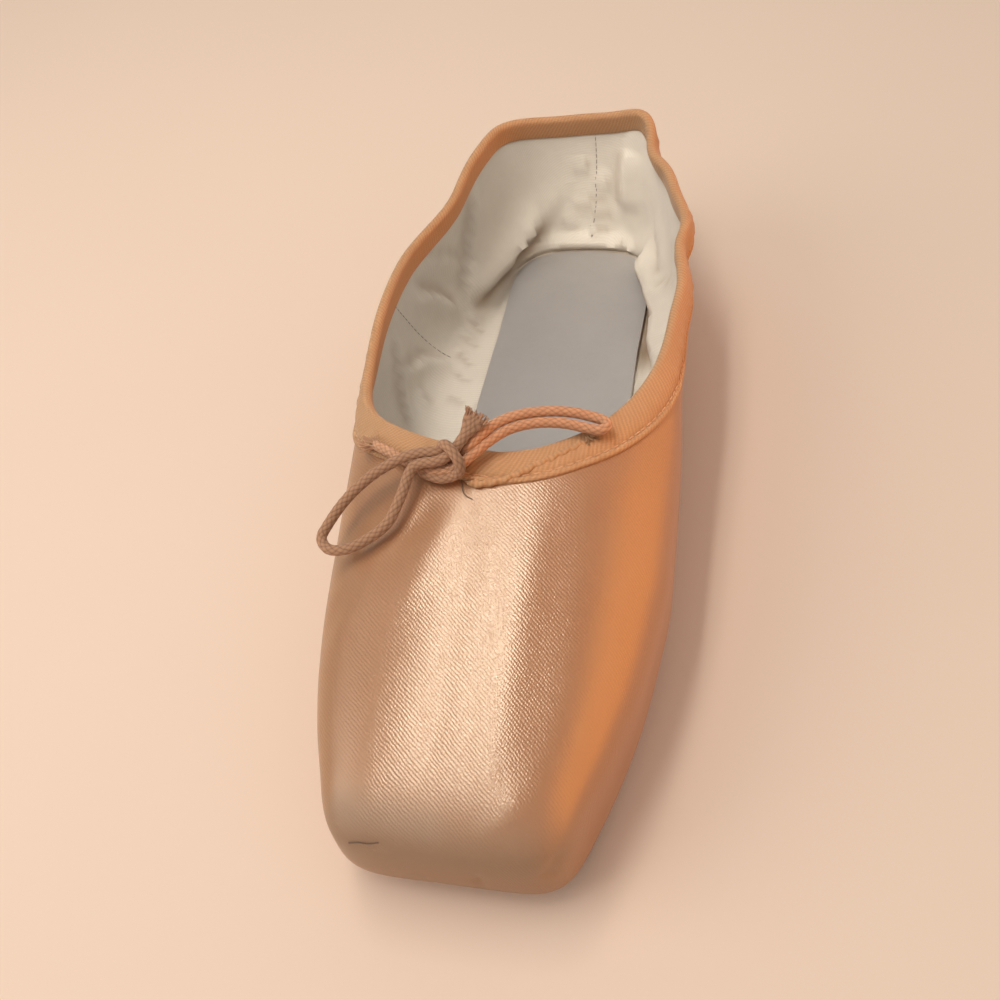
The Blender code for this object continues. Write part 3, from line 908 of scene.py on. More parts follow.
# The weave: how coarse and how strong its wobble is, how its picks cross the floats, and how fine its speckle is.
WOBBLE_SCALE = 260.0
WOBBLE_TURN = 6.0
PICK_SLANT = -0.35
PICKS_PER_FLOAT = 1.7
PICK_HEIGHT = 0.35
WEAVE_HEIGHT = 0.30
SPECKLE_SCALE = 1700.0


def weave_group():
    """Threads of a woven cloth: slanted floats crossed by fine picks, a little uneven."""
    if "woven threads" in bpy.data.node_groups:
        return bpy.data.node_groups["woven threads"]
    group, start, end = new_group(
        "woven threads",
        (
            ("Vector", "NodeSocketVector", None),
            ("Per Metre", "NodeSocketFloat", 1200.0),
            ("Slant", "NodeSocketFloat", 1.0),
            ("Unevenness", "NodeSocketFloat", 1.0),
            ("Speckle", "NodeSocketFloat", 0.6),
        ),
        (("Height", "NodeSocketFloat"),),
    )
    parts = add_node(group, "ShaderNodeSeparateXYZ", {0: start.outputs["Vector"]})
    wobble = noise(group, start.outputs["Vector"], WOBBLE_SCALE, 3.0)
    wobble = calc(group, "MULTIPLY", wobble, start.outputs["Unevenness"])
    turns = calc(group, "MULTIPLY", start.outputs["Per Metre"], math.tau)
    slanted = calc(group, "MULTIPLY_ADD", parts.outputs[1], start.outputs["Slant"], parts.outputs[0])
    phase = calc(group, "MULTIPLY", slanted, turns)
    phase = calc(group, "MULTIPLY_ADD", wobble, WOBBLE_TURN, phase)
    floats = calc(group, "SINE", phase)
    other = calc(group, "MULTIPLY_ADD", parts.outputs[0], PICK_SLANT, parts.outputs[1])
    picks = calc(group, "SINE", calc(group, "MULTIPLY", calc(group, "MULTIPLY", other, turns), PICKS_PER_FLOAT))
    height = calc(group, "MULTIPLY_ADD", picks, PICK_HEIGHT, floats)
    height = calc(group, "MULTIPLY_ADD", height, WEAVE_HEIGHT, 0.5)
    fine = noise(group, start.outputs["Vector"], SPECKLE_SCALE, 2.0)
    fine = calc(group, "MULTIPLY", calc(group, "SUBTRACT", fine, 0.5), start.outputs["Speckle"])
    height = calc(group, "ADD", height, fine)
    group.links.new(height, end.inputs["Height"])
    return group


def patches_group():
    """Soft, broad unevenness of a colour: large patches with a little fine mottling."""
    if "soft patches" in bpy.data.node_groups:
        return bpy.data.node_groups["soft patches"]
    group, start, end = new_group(
        "soft patches",
        (("Vector", "NodeSocketVector", None), ("Scale", "NodeSocketFloat", 30.0)),
        (("Mask", "NodeSocketFloat"),),
    )
    broad = noise(group, start.outputs["Vector"], start.outputs["Scale"], 2.0)
    fine = noise(group, start.outputs["Vector"], calc(group, "MULTIPLY", start.outputs["Scale"], 7.0), 4.0)
    both = calc(group, "MULTIPLY_ADD", fine, 0.3, calc(group, "MULTIPLY", broad, 0.7))
    group.links.new(ramp(group, both, 0.35, 0.65), end.inputs["Mask"])
    return group


def group_node(tree, group, inputs):
    return add_node(tree, "ShaderNodeGroup", inputs, node_tree=group)


def object_place(tree):
    return add_node(tree, "ShaderNodeTexCoord").outputs["Object"]


def patches(tree, scale):
    """The mask of soft patches of that scale."""
    return group_node(tree, patches_group(), {"Vector": object_place(tree), "Scale": scale}).outputs["Mask"]


def soil_and_painted_shade_mask(tree):
    return add_node(tree, "ShaderNodeAttribute", attribute_name="soil_and_painted_shade").outputs["Fac"]


def cloth_threads(tree, inputs):
    """The height of the threads of a woven cloth, on its own UV map."""
    cloth = add_node(tree, "ShaderNodeUVMap", uv_map="UVMap").outputs[0]
    return group_node(tree, weave_group(), {"Vector": cloth, **inputs}).outputs["Height"]


def dress(tree, shader, colour, bump_height, distance, strength):
    """Sends a colour and a bump to a shader."""
    tree.links.new(colour, shader.inputs["Base Color"])
    inputs = {"Height": bump_height, "Distance": distance, "Strength": strength}
    tree.links.new(add_node(tree, "ShaderNodeBump", inputs).outputs[0], shader.inputs["Normal"])


FINISHES = {}


def new_material(name, settings):
    """A material, its node tree and its shader, whose constants are set on the shader's own sockets."""
    material = bpy.data.materials.new("shoe_" + name)
    material.use_nodes = True
    FINISHES[name] = material
    tree = material.node_tree
    shader = tree.nodes["Principled BSDF"]
    for label, value in settings.items():
        shader.inputs[label].default_value = value
    return material, tree, shader


def times(colour, factor):
    return tuple(min(channel * factor, 1.0) for channel in colour)


SATIN_ROUGHNESS = 0.31
SOILED_SATIN = (0.235, 0.155, 0.105)
# Painted shade under the canvas's folds.
SHADED_LINING = (0.33, 0.235, 0.16)
# Painted shade between the drawstring's strands.
PAINTED_SHADE_BETWEEN_STRANDS = (0.17, 0.085, 0.045)


def satin_material():
    material, tree, shader = new_material("satin", {
        "Roughness": SATIN_ROUGHNESS, "IOR": 1.7, "Specular IOR Level": 1.0, "Anisotropic": 0.72,
        "Specular Tint": (1.0, 0.89, 0.73, 1.0),
        "Sheen Weight": 0.08, "Sheen Roughness": 0.35, "Sheen Tint": (1.0, 0.80, 0.62, 1.0),
    })
    threads = cloth_threads(tree, {"Per Metre": 1040.0, "Slant": 0.9, "Unevenness": 1.5, "Speckle": 1.5})
    base = colours().satin[:]
    colour = blend(tree, threads, times(base, 0.80), times(base, 1.19))
    colour = blend(tree, patches(tree, 28.0), colour, (base[0], base[1] * 1.05, base[2] * 1.12))
    # On the satin this attribute holds only dirt and wear at the platform, which also roughen the satin.
    soil_and_painted_shade = soil_and_painted_shade_mask(tree)
    colour = blend(tree, soil_and_painted_shade, colour, SOILED_SATIN)
    tree.links.new(ramp(tree, soil_and_painted_shade, 0.0, 1.0, SATIN_ROUGHNESS, 2 * SATIN_ROUGHNESS), shader.inputs["Roughness"])
    dress(tree, shader, colour, threads, 0.00008, 0.5)
    tangent = add_node(tree, "ShaderNodeTangent", direction_type="UV_MAP", uv_map="UVMap")
    tree.links.new(tangent.outputs[0], shader.inputs["Tangent"])
    return material


def cloth_material(name, colour, per_metre, slant, roughness, depth, contrast=0.16, soil_and_painted_shade=None):
    """A matt woven cotton: tape, drawstring or canvas. soil is its colour where its soil attribute is 1."""
    if name in FINISHES:
        return FINISHES[name]
    material, tree, shader = new_material(name, {
        "Roughness": roughness, "Specular IOR Level": 0.3, "Sheen Weight": 0.15, "Sheen Roughness": 0.5,
    })
    threads = cloth_threads(tree, {"Per Metre": per_metre, "Slant": slant})
    shaded = blend(tree, threads, times(colour, 1 - contrast), times(colour, 1 + contrast))
    shaded = blend(tree, patches(tree, 45.0), shaded, blend(tree, 0.5, shaded, times(colour, 0.88)))
    # Painted shade: under the canvas's folds and between the drawstring's strands.
    if soil_and_painted_shade:
        shaded = blend(tree, soil_and_painted_shade_mask(tree), shaded, soil_and_painted_shade)
    dress(tree, shader, shaded, threads, depth, 0.8)
    return material


def tape_material():
    return cloth_material("tape", colours().tape[:], 900.0, 0.6, 0.8, 0.0001, 0.22)


def lining_material():
    # The canvas takes painted shade under its folds.
    return cloth_material("lining", colours().lining[:], 1100.0, 0.1, 0.6, 0.00005, 0.06, SHADED_LINING)


def cord_material():
    # The drawstring takes painted shade between its strands.
    return cloth_material("cord", colours().cord[:], 3200.0, 1.0, 0.85, 0.00004, 0.14, PAINTED_SHADE_BETWEEN_STRANDS)


SEWING_THREADS = {
    "thread": ((0.20, 0.135, 0.09), 0.8),
    "seam": ((0.36, 0.29, 0.23), 0.8),
    "stitch": ((0.62, 0.36, 0.20), 0.7),
}


def sewing_thread(name):
    colour, roughness = SEWING_THREADS[name]
    return cloth_material(name, colour, 2600.0, 1.0, roughness, 0.00003, 0.2)


def board_material():
    material, tree, shader = new_material("board", {"Roughness": 0.5, "Specular IOR Level": 0.4})
    grain = noise(tree, object_place(tree), 900.0, 4.0, 0.7)
    base = colours().board[:]
    colour = blend(tree, grain, times(base, 0.93), times(base, 1.07))
    colour = blend(tree, patches(tree, 40.0), colour, times(base, 1.05))
    dress(tree, shader, colour, grain, 0.00005, 0.5)
    return material


def leather_material():
    material, tree, shader = new_material("leather", {"Roughness": 0.62, "Specular IOR Level": 0.35})
    pores = noise(tree, object_place(tree), 700.0, 5.0, 0.7)
    base = colours().leather[:]
    colour = blend(tree, pores, times(base, 0.85), times(base, 1.12))
    colour = blend(tree, patches(tree, 22.0), colour, blend(tree, 0.6, colour, times(base, 0.8)))
    tree.links.new(ramp(tree, pores, 0.3, 0.7, 0.55, 0.72), shader.inputs["Roughness"])
    dress(tree, shader, colour, pores, 0.00012, 0.5)
    return material


def floor_material():
    material, tree, shader = new_material("floor", {"Roughness": 0.85, "Specular IOR Level": 0.2})
    base = colours().floor[:]
    tree.links.new(blend(tree, patches(tree, 2.0), base, times(base, 0.985)), shader.inputs["Base Color"])
    return material


# Soiled and worn places of the satin, in millimetres: from, to, half width, strength.
SATIN_SOIL = (
    ((-24, -114, 24), (26, -114, 24), 9.0, 0.55),
    ((-22, -110, 30), (-4, -112, 30), 4.0, 0.35),
)


def mark_soil(piece):
    """Keeps how soiled or worn each place of the satin is."""
    rows = creases_in_row(SATIN_SOIL)

    def soil_at(point):
        return sum(
            strength / MM * hump(segment_distance(point, start, end)[0], width)
            for start, end, width, strength in rows
        )

    keep_soil_and_painted_shade(piece.data, [min(soil_at(vertex.co), 1.0) for vertex in piece.data.vertices])


SATIN_THICKNESS = 0.0005
LINING_THICKNESS = 0.0005


def make_upper():
    satin = last_skin("satin_upper", SATIN_DIVISIONS)
    creases = creases_in_row(SATIN_CREASES + SEAMS)
    sink(satin, lambda point, facing: crease_depth_at(point, creases))
    SKINS["satin"] = skin_of(satin)
    set_wall(satin, SATIN_THICKNESS, -1)
    mark_soil(satin)
    finish_piece(satin, CLOTH_SMOOTHING, satin_material())
    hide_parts("upper")


def make_lining():
    lining = last_skin("lining_canvas", LINING_DIVISIONS)
    sink(lining, lambda point, facing: wall(point.y - SHIFT.y) - LINING_THICKNESS)
    folds = folds_in_row(LINING_FOLDS)
    raise_folds(lining, folds)
    SKINS["lining"] = skin_of(lining)
    set_wall(lining, LINING_THICKNESS, -1)
    finish_piece(lining, CLOTH_SMOOTHING, lining_material())
    sew_lining()


def lay_stitches(name, spots, length, radius):
    """One rounded stitch, copied to each spot and joined. A spot is its place, its direction and its facing."""
    select_none()
    bpy.ops.mesh.primitive_uv_sphere_add(segments=8, ring_count=6, radius=1.0, location=(0, 0, 0))
    first = bpy.context.object
    pieces = [first]
    for _ in spots[1:]:
        piece = first.copy()
        piece.data = first.data.copy()
        bpy.context.scene.collection.objects.link(piece)
        pieces.append(piece)
    for piece, (place, along, facing) in zip(pieces, spots):
        along = (along - facing * along.dot(facing)).normalized()
        across = facing.cross(along)
        x, y, z = along * length / 2, across * radius, facing * radius
        piece.data.transform(Matrix((
            (x.x, y.x, z.x, place.x), (x.y, y.y, z.y, place.y), (x.z, y.z, z.z, place.z), (0, 0, 0, 1),
        )))
    return joined(name, pieces)


LINING_STITCH_SPACING = 0.0021
LINING_STITCH_RADIUS = 0.00014
LINING_STITCH_SHARE = 0.85


def sew_lining():
    """The seams of the canvas: rows of sunk stitches at the back and at both sides."""
    spots = []
    for line in LINING_SEAMS:
        path, _ = smooth_path(row_points(line), LINING_STITCH_SPACING)
        for before, after in zip(path, path[1:]):
            spot, facing = nearest_on(SKINS["lining"], (before + after) / 2)
            spots.append((spot - facing * LINING_THICKNESS, after - before, -facing))
    stitches = lay_stitches("lining_stitches", spots, sizes().stitch_length * LINING_STITCH_SHARE, LINING_STITCH_RADIUS)
    finish_piece(stitches, THREAD_SMOOTHING, sewing_thread("seam"))


# The casing's section, in millimetres: distances from the rim and heights above the satin down the outside, angles
# over the rim, the same down the inside, and the way back under the tape. The turned lower edge stands up as a
# narrow welt with the stitched groove above it.
CASING_OUT = (
    (8.0, 0.04), (8.02, 0.35), (7.85, 0.72), (7.4, 0.95), (6.9, 0.92), (6.55, 0.62), (6.35, 0.30), (6.05, 0.26),
    (5.75, 0.48), (5.2, 0.72), (4.0, 0.98), (2.6, 1.0), (1.2, 0.85), (0.3, 0.75),
)
CASING_OVER = (6.0, 26.0, 48.0, 70.0, 92.0, 114.0, 138.0, 165.0)
CASING_RIM = 0.72
CASING_IN = ((0.3, 0.72), (1.4, 0.72), (2.8, 0.75), (4.2, 0.72), (4.9, 0.6), (5.2, 0.3))
CASING_BACK = (
    ("in", 5.2, 0.04), ("in", 3.0, 0.1), ("in", 0.5, 0.1), ("over", 150.0, 0.1), ("over", 90.0, 0.1),
    ("over", 30.0, 0.1), ("under", 0.5, 0.08), ("under", 3.0, 0.06), ("under", 6.0, 0.04),
)
CASING_SECTION = (
    *(("out", *spot) for spot in CASING_OUT),
    *(("over", angle, CASING_RIM) for angle in CASING_OVER),
    *(("in", *spot) for spot in CASING_IN),
    *CASING_BACK,
)
CASING_WAVES = ((0.10, 1250.0, 0.3), (0.08, 2130.0, 1.1), (0.08, 690.0, 2.0))
CASING_ROOM = 0.0003
CASING_SECTIONS_SPACING = 0.0011


def collar_line():
    """Evenly spaced points on the creased satin's top edge, from the throat along the left and back on the right."""
    plan = [spot for spot in fine_ribs(SATIN_DIVISIONS) if spot[0] != "toe"]
    half = [spot for spot in plan if spot[0] == "heel" or spot[1] >= COLLAR[0][0]]

    def top(kind, at, side):
        spine, rim = spine_and_rim(kind, at, side)
        return in_row(on_upper_wall(spine, rim, collar_turn(side, rim.y), height_of_widest(rim.y)))

    left = [top(kind, at, -1) for kind, at, _ in half]
    right = [top(kind, at, 1) for kind, at, _ in half]
    edge = left + right[-2:0:-1]
    skin = satin_skin()
    edge = [nearest_on(skin, pulled(point))[0] for point in edge]
    closed = edge + edge[:1]
    travelled = distances_along(closed)
    count = round(travelled[-1] / CASING_SECTIONS_SPACING)
    return spread_evenly(closed, count, travelled)[:-1], travelled[-1]


def smoothed_ring(values, reach):
    """The running mean of vectors round a ring."""
    count = len(values)
    made = []
    for k in range(count):
        total = Vector()
        for step in range(-reach, reach + 1):
            total += values[(k + step) % count]
        made.append(total / (2 * reach + 1))
    return made


def collar_frames():
    """For each point of the collar: the point, the direction down the satin and the direction that it faces."""
    edge, length = collar_line()
    edge = smoothed_ring(edge, 1)
    skin = satin_skin()
    facing = smoothed_ring([nearest_on(skin, point)[1] for point in edge], 3)
    frames = []
    for k, point in enumerate(edge):
        along = (edge[(k + 1) % len(edge)] - edge[k - 1]).normalized()
        normal = facing[k].normalized()
        down = normal.cross(along).normalized()
        if down.z > 0.3:
            down = -down
        frames.append((point, down, normal))
    return frames, length


def beside(skin, point, down, distance, offset):
    spot, facing = nearest_on(skin, point + down * distance)
    return spot + facing * offset


def make_casing():
    skin = satin_skin()
    frames, length = collar_frames()
    step = length / len(frames)
    lines, places = [], []
    for k, (point, down, normal) in enumerate(frames):
        thick = wall(point.y - SHIFT.y)
        middle = point - normal * thick / 2
        along = k * step
        lift = sum(size * math.sin(along * rate + start) for size, rate, start in CASING_WAVES)

        def over(angle, clearance):
            radius = thick / 2 + clearance
            turn = math.radians(angle)
            rise = CASING_ROOM + radius * math.sin(turn)
            return middle + normal * radius * math.cos(turn) - down * rise

        line = []
        for where, place, height in CASING_SECTION:
            if where == "over":
                line.append(over(place, height * MM))
                continue
            if where == "out":
                height += lift * smooth(0.0, 2.5, place) * (1 - smooth(5.8, 7.0, place))
            offset = -thick - height * MM if where == "in" else height * MM
            line.append(beside(skin, point, down, place * MM, offset))
        line.append(line[0])
        lines.append(line)
        places.append([(along, far) for far in distances_along(line)])
    lines.append(lines[0])
    places.append([(length, far) for _, far in places[0]])
    casing, cells = new_grid("casing_tape", len(lines) - 1, len(lines[0]) - 1)
    send_grid(casing, cells, lines, places)
    merge_doubles(casing, recalculate=True)
    finish_piece(casing, CASING_SMOOTHING, tape_material())
    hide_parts("collar_binding")
    sew_casing(frames, skin)


CASING_STITCH_ROW = 0.0062
CASING_STITCH_HEIGHT = 0.00040
CASING_STITCH_RADIUS = 0.00024


def sew_casing(frames, skin):
    """The row of stitches in the groove above the casing's lower edge, one to every second section."""
    spots = []
    for k in range(0, len(frames) - 1, 2):
        point, down, _ = frames[k]
        after, down_after, _ = frames[k + 1]
        spot, facing = nearest_on(skin, point + down * CASING_STITCH_ROW)
        onwards, _ = nearest_on(skin, after + down_after * CASING_STITCH_ROW)
        spots.append((spot + facing * CASING_STITCH_HEIGHT, onwards - spot, facing))
    stitches = lay_stitches("casing_stitches", spots, sizes().stitch_length, CASING_STITCH_RADIUS)
    finish_piece(stitches, THREAD_SMOOTHING, sewing_thread("stitch"))


# The drawstring, in millimetres of the last's frame. Each cord goes from the casing, through the knot, round
# its loop, through the knot again and out to its end. The stretches outside the knot repeat part.py's routes.
CORD_LEFT = (
    (-11.8, -30.6, 51.2), (-11.0, -31.0, 53.2), (-11.6, -31.7, 55.2), (-13.8, -32.6, 56.3), (-17.0, -33.0, 56.4),
    (-20.6, -33.8, 55.9), (-25.2, -35.6, 54.4), (-30.4, -38.1, 51.8), (-35.6, -42.2, 48.4), (-39.3, -47.2, 45.2),
    (-40.2, -50.4, 44.0), (-37.6, -53.2, 43.8), (-33.0, -53.6, 44.8), (-28.0, -51.6, 46.4), (-23.6, -48.6, 48.6),
    (-21.7, -44.8, 50.6), (-20.7, -41.2, 52.0), (-20.1, -38.2, 53.2), (-19.0, -36.0, 54.4), (-16.6, -35.2, 55.2),
    (-13.8, -34.9, 55.5), (-11.4, -34.0, 56.0), (-9.2, -32.2, 57.3), (-7.4, -30.0, 58.8), (-6.0, -27.8, 60.2),
    (-4.9, -25.6, 61.4),
)
CORD_RIGHT = (
    (-8.8, -30.0, 50.9), (-8.2, -30.3, 52.8), (-7.6, -30.6, 54.8), (-6.2, -30.0, 56.3), (-4.2, -27.6, 57.0),
    (-1.6, -24.2, 57.2), (2.0, -21.4, 57.1), (6.2, -19.5, 56.8), (11.3, -18.1, 56.2), (16.4, -17.3, 55.1),
    (21.0, -17.3, 53.8), (23.6, -17.9, 53.2), (24.3, -19.2, 52.8), (22.6, -20.3, 52.6), (19.4, -20.1, 53.0),
    (14.8, -20.0, 54.1), (9.8, -20.7, 55.0), (5.2, -22.2, 55.5), (1.1, -24.5, 55.6), (-2.6, -28.1, 55.3),
    (-5.2, -31.2, 54.9), (-7.6, -33.4, 53.9), (-10.7, -34.9, 52.8), (-14.3, -35.2, 52.4), (-17.6, -34.2, 52.2),
    (-20.6, -32.4, 51.8), (-24.0, -30.2, 51.1), (-28.2, -27.3, 50.1), (-32.4, -24.2, 48.9),
)
KNOT_WRAP = (
    (-13.4, -30.4, 54.0), (-12.7, -31.0, 56.6), (-11.4, -32.0, 58.2), (-9.7, -33.7, 58.5), (-8.2, -35.1, 57.2),
    (-7.6, -35.8, 55.3), (-8.1, -36.0, 53.5), (-9.8, -36.1, 52.0), (-12.8, -36.4, 51.4), (-15.8, -35.6, 51.5),
    (-17.9, -34.4, 51.4),
)
STUB_FLARE = 0.0060
STUB_FACING = (0.25, -0.75, 0.60)
CORD_SIDES = 48
PLAITS_ROUND = 6
PLAIT_PITCH = 0.0021
PLAIT_RELIEF = 0.10
PLAIT_BULGE = 0.6
PLAIT_DIP = 0.45
PLAIT_MEAN = 0.6
# Painted shade between the strands: how dark the deepest place is, and how fast the shade falls off up a strand.
VALLEY_SHADE = 0.9
VALLEY_FALL = 1.4
CUT_END_DRAWN_IN = 0.14
CUT_END_LENGTH = 0.0012
STUB_WIDENS = 1.15
STUB_FLATTENS = 0.40
CORD_RING = 0.00022
CURVE_STEPS = 24
RINGS_AT_END = 12
# Frayed yarns: how many, how long, how far they fan out, the width that they are rooted across, and the seed.
LEFT_END_YARNS = (30, 0.0056, 0.45, 0.0020, 7)
STUB_YARNS = (60, 0.0022, 0.35, 0.0052, 11)
YARNS_DEEP = 0.0007
YARNS_ROOTED = 0.0010
YARN_CURL = 0.12
YARN_RADIUS = (0.00012, 0.00022)
YARN_SIDES = 5


def smooth_path(points, spacing):
    """Points at an even spacing on a smooth curve through a route's own points."""
    points = [Vector(point) for point in points]
    ends = [2 * points[0] - points[1], *points, 2 * points[-1] - points[-2]]
    fine = []
    for a, b, c, d in zip(ends, ends[1:], ends[2:], ends[3:]):
        for k in range(CURVE_STEPS):
            t = k / CURVE_STEPS
            bend = 2 * a - 5 * b + 4 * c - d
            twist = 3 * b - a - 3 * c + d
            fine.append(b + ((c - a) * t + bend * t * t + twist * t**3) / 2)
    fine.append(points[-1])
    travelled = distances_along(fine)
    count = max(round(travelled[-1] / spacing), 2)
    return spread_evenly(fine, count, travelled), travelled[-1]


def path_frames(path):
    """A side direction for each point of a path, carried along it without twisting."""
    ahead = [(b - a).normalized() for a, b in zip(path, path[1:])]
    ahead = [ahead[0]] + [(a + b).normalized() for a, b in zip(ahead, ahead[1:])] + [ahead[-1]]
    side = ahead[0].orthogonal().normalized()
    sides = []
    for direction in ahead:
        side = (side - direction * side.dot(direction)).normalized()
        sides.append(side)
    return ahead, sides


def tube(name, path, radius_at, sides):
    """A closed tube along a path, with its length and girth in metres as its UV map. radius_at takes the
    distance along and the angle round."""
    ahead, across = path_frames(path)
    lines, places = [], []
    for point, direction, side, along in zip(path, ahead, across, distances_along(path)):
        third = direction.cross(side)
        line, place = [], []
        for k in range(sides + 1):
            angle = math.tau * k / sides
            radius = radius_at(along, angle)
            line.append(point + (side * math.cos(angle) + third * math.sin(angle)) * radius)
            place.append((along, k / sides * math.tau * radius_at(0.0, 0.0)))
        lines.append(line)
        places.append(place)
    lines.insert(0, [path[0]] * (sides + 1))
    places.insert(0, places[0])
    lines.append([path[-1]] * (sides + 1))
    places.append(places[-1])
    piece, cells = new_grid(name, len(lines) - 1, sides)
    send_grid(piece, cells, lines, places)
    merge_doubles(piece, recalculate=True)
    return piece


def plait(along, angle):
    """The height, 0 to 1, of strands that run round a cord in two directions, over and under each other."""
    turned = angle / math.tau * PLAITS_ROUND
    first, second = turned + along / PLAIT_PITCH, turned - along / PLAIT_PITCH
    over, under = (first, second) if (math.floor(first) + math.floor(second)) % 2 == 0 else (second, first)
    crossing = 1 - PLAIT_DIP + PLAIT_DIP * math.sin(math.pi * (under % 1))
    return math.sin(math.pi * (over % 1)) ** PLAIT_BULGE * crossing


def braid(length, radius, flare=0.0, flat_angle=0.0):
    """The radius of a braided cord, drawn in at its cut ends. Over the last stretch, flare, it opens into a flat,
    wide end, which faces flat_angle."""

    def radius_at(along, angle):
        from_end = min(along, length - along)
        relief = 1 + PLAIT_RELIEF * (plait(along, angle) - PLAIT_MEAN)
        plaited = radius * relief * (1 - CUT_END_DRAWN_IN * (1 - smooth(0.0, CUT_END_LENGTH, from_end)))
        opened = smooth(length - flare, length, along) if flare else 0.0
        wide, thin = 1 + STUB_WIDENS * opened, 1 - STUB_FLATTENS * opened
        turned = angle - flat_angle
        return plaited / math.hypot(math.sin(turned) / wide, math.cos(turned) / thin)

    return radius_at


def shade_valleys(cord, radius_at):
    """Keeps in the soil attribute of a braided cord how deep each place lies between its strands."""
    mesh = cord.data
    girth = radius_at(0.0, 0.0)
    painted_shades = [0.0] * len(mesh.vertices)
    for loop, place in zip(mesh.loops, mesh.uv_layers[0].data):
        height = plait(place.uv[0], place.uv[1] / girth)
        painted_shades[loop.vertex_index] = VALLEY_SHADE * (1 - height) ** VALLEY_FALL
    keep_soil_and_painted_shade(mesh, painted_shades)


def angle_facing(path, facing):
    """The angle round the last ring of a path's tube that looks towards a direction."""
    ahead, sides = path_frames(path)
    third = ahead[-1].cross(sides[-1])
    return math.atan2(Vector(facing).dot(third), Vector(facing).dot(sides[-1]))


def joined(name, pieces):
    """Joins pieces into one of this name."""
    select_none()
    for piece in pieces:
        piece.select_set(True)
    bpy.context.view_layer.objects.active = pieces[0]
    if len(pieces) > 1:
        bpy.ops.object.join()
    pieces[0].name = name
    pieces[0].data.name = name
    return pieces[0]


def fray(name, root, direction, flat, count, length, spread, width, seed):
    """Loose yarns at a cut end, rooted across a width and fanned out round a direction. flat is the direction
    that a flattened end faces, across which the yarns spread least."""
    draw = random.Random(seed)
    flat = (flat - direction * flat.dot(direction)).normalized()
    across = direction.cross(flat)
    yarns = []
    for k in range(count):
        aside = draw.uniform(-1, 1)
        off = across * aside * width / 2 + flat * draw.uniform(-1, 1) * YARNS_DEEP
        start = root - direction * YARNS_ROOTED + off
        outwards = across * aside * 0.8 + flat * draw.uniform(-0.5, 0.5)
        reach = length * draw.uniform(0.55, 1.0)
        curl = Vector((draw.uniform(-1, 1), draw.uniform(-1, 1), draw.uniform(-1, 1))) * reach * YARN_CURL
        route = [
            start,
            start + direction * reach * 0.4 + outwards * spread * 0.25 * reach,
            start + direction * reach * 0.75 + outwards * spread * 0.8 * reach + curl,
            start + direction * reach + outwards * spread * 1.2 * reach + curl * 1.5,
        ]
        path, _ = smooth_path(route, reach / 7)
        thick = draw.uniform(*YARN_RADIUS)
        yarns.append(tube(f"{name}_{k}", path, lambda along, angle, r=thick: r, YARN_SIDES))
    return joined(name, yarns)


def make_drawstring():
    radius = sizes().cord_diameter / 2
    (left, left_length), (right, right_length), (wound, wound_length) = (
        smooth_path(row_points(table), CORD_RING) for table in (CORD_LEFT, CORD_RIGHT, KNOT_WRAP)
    )
    stub = Vector(STUB_FACING)
    opened = braid(left_length, radius, STUB_FLARE, angle_facing(left, stub))
    left_cord, right_cord, wrap = (
        tube(name, path, shape, CORD_SIDES)
        for name, path, shape in (
            ("drawstring_left", left, opened),
            ("drawstring_right", right, braid(right_length, radius)),
            ("knot_wrap", wound, braid(wound_length, radius)),
        )
    )
    for piece in (left_cord, right_cord, wrap):
        shade_valleys(piece, braid(left_length, radius))
    left_fray, right_fray = (
        fray(name, path[-1], (path[-1] - path[-RINGS_AT_END]).normalized(), flat, *yarns)
        for name, path, flat, yarns in (
            ("frayed_end_left", right, UP, LEFT_END_YARNS),
            ("frayed_end_right", left, stub, STUB_YARNS),
        )
    )
    cord = cord_material()
    for piece in (left_cord, right_cord, wrap, left_fray, right_fray):
        finish_piece(piece, CLOTH_SMOOTHING, cord)
    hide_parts("drawstring_loop_left", "drawstring_end_right")
    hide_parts("drawstring_loop_right", "drawstring_end_left")
    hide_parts("drawstring_knot")


# Loose threads that lie on the satin, in millimetres: the one at the throat and the one caught on the platform.
LOOSE_THREADS = (
    ((-8.6, -34.6, 50.4), (-7.9, -36.4, 49.6), (-7.5, -38.0, 49.2), (-6.4, -39.4, 48.9), (-4.8, -40.2, 48.8)),
    ((-21.0, -114.6, 23.9), (-18.6, -114.8, 25.0), (-16.4, -114.9, 25.2), (-14.1, -114.9, 26.0)),
)
THREAD_RADIUS = 0.00013
THREAD_RING = 0.0005
THROAT_EDGE = (
    (-7.4, -35.9, 50.2), (-4.6, -36.6, 50.2), (-1.6, -36.2, 50.3), (1.6, -35.3, 50.4), (4.6, -33.6, 50.6),
    (7.6, -31.5, 50.7), (10.6, -29.4, 50.7), (14.0, -26.8, 50.6), (17.4, -23.9, 50.4), (20.4, -21.5, 50.2),
)
THROAT_EDGE_RADIUS = 0.00085
THROAT_EDGE_TWIST = 0.0030
THROAT_EDGE_STANDS = 0.0006
TAPE_END = (20.6, -21.4, 50.6)
TAPE_END_AHEAD = (0.70, -0.62, -0.05)
TAPE_END_YARNS = (16, 0.0022, 0.6, 0.0016, 5)


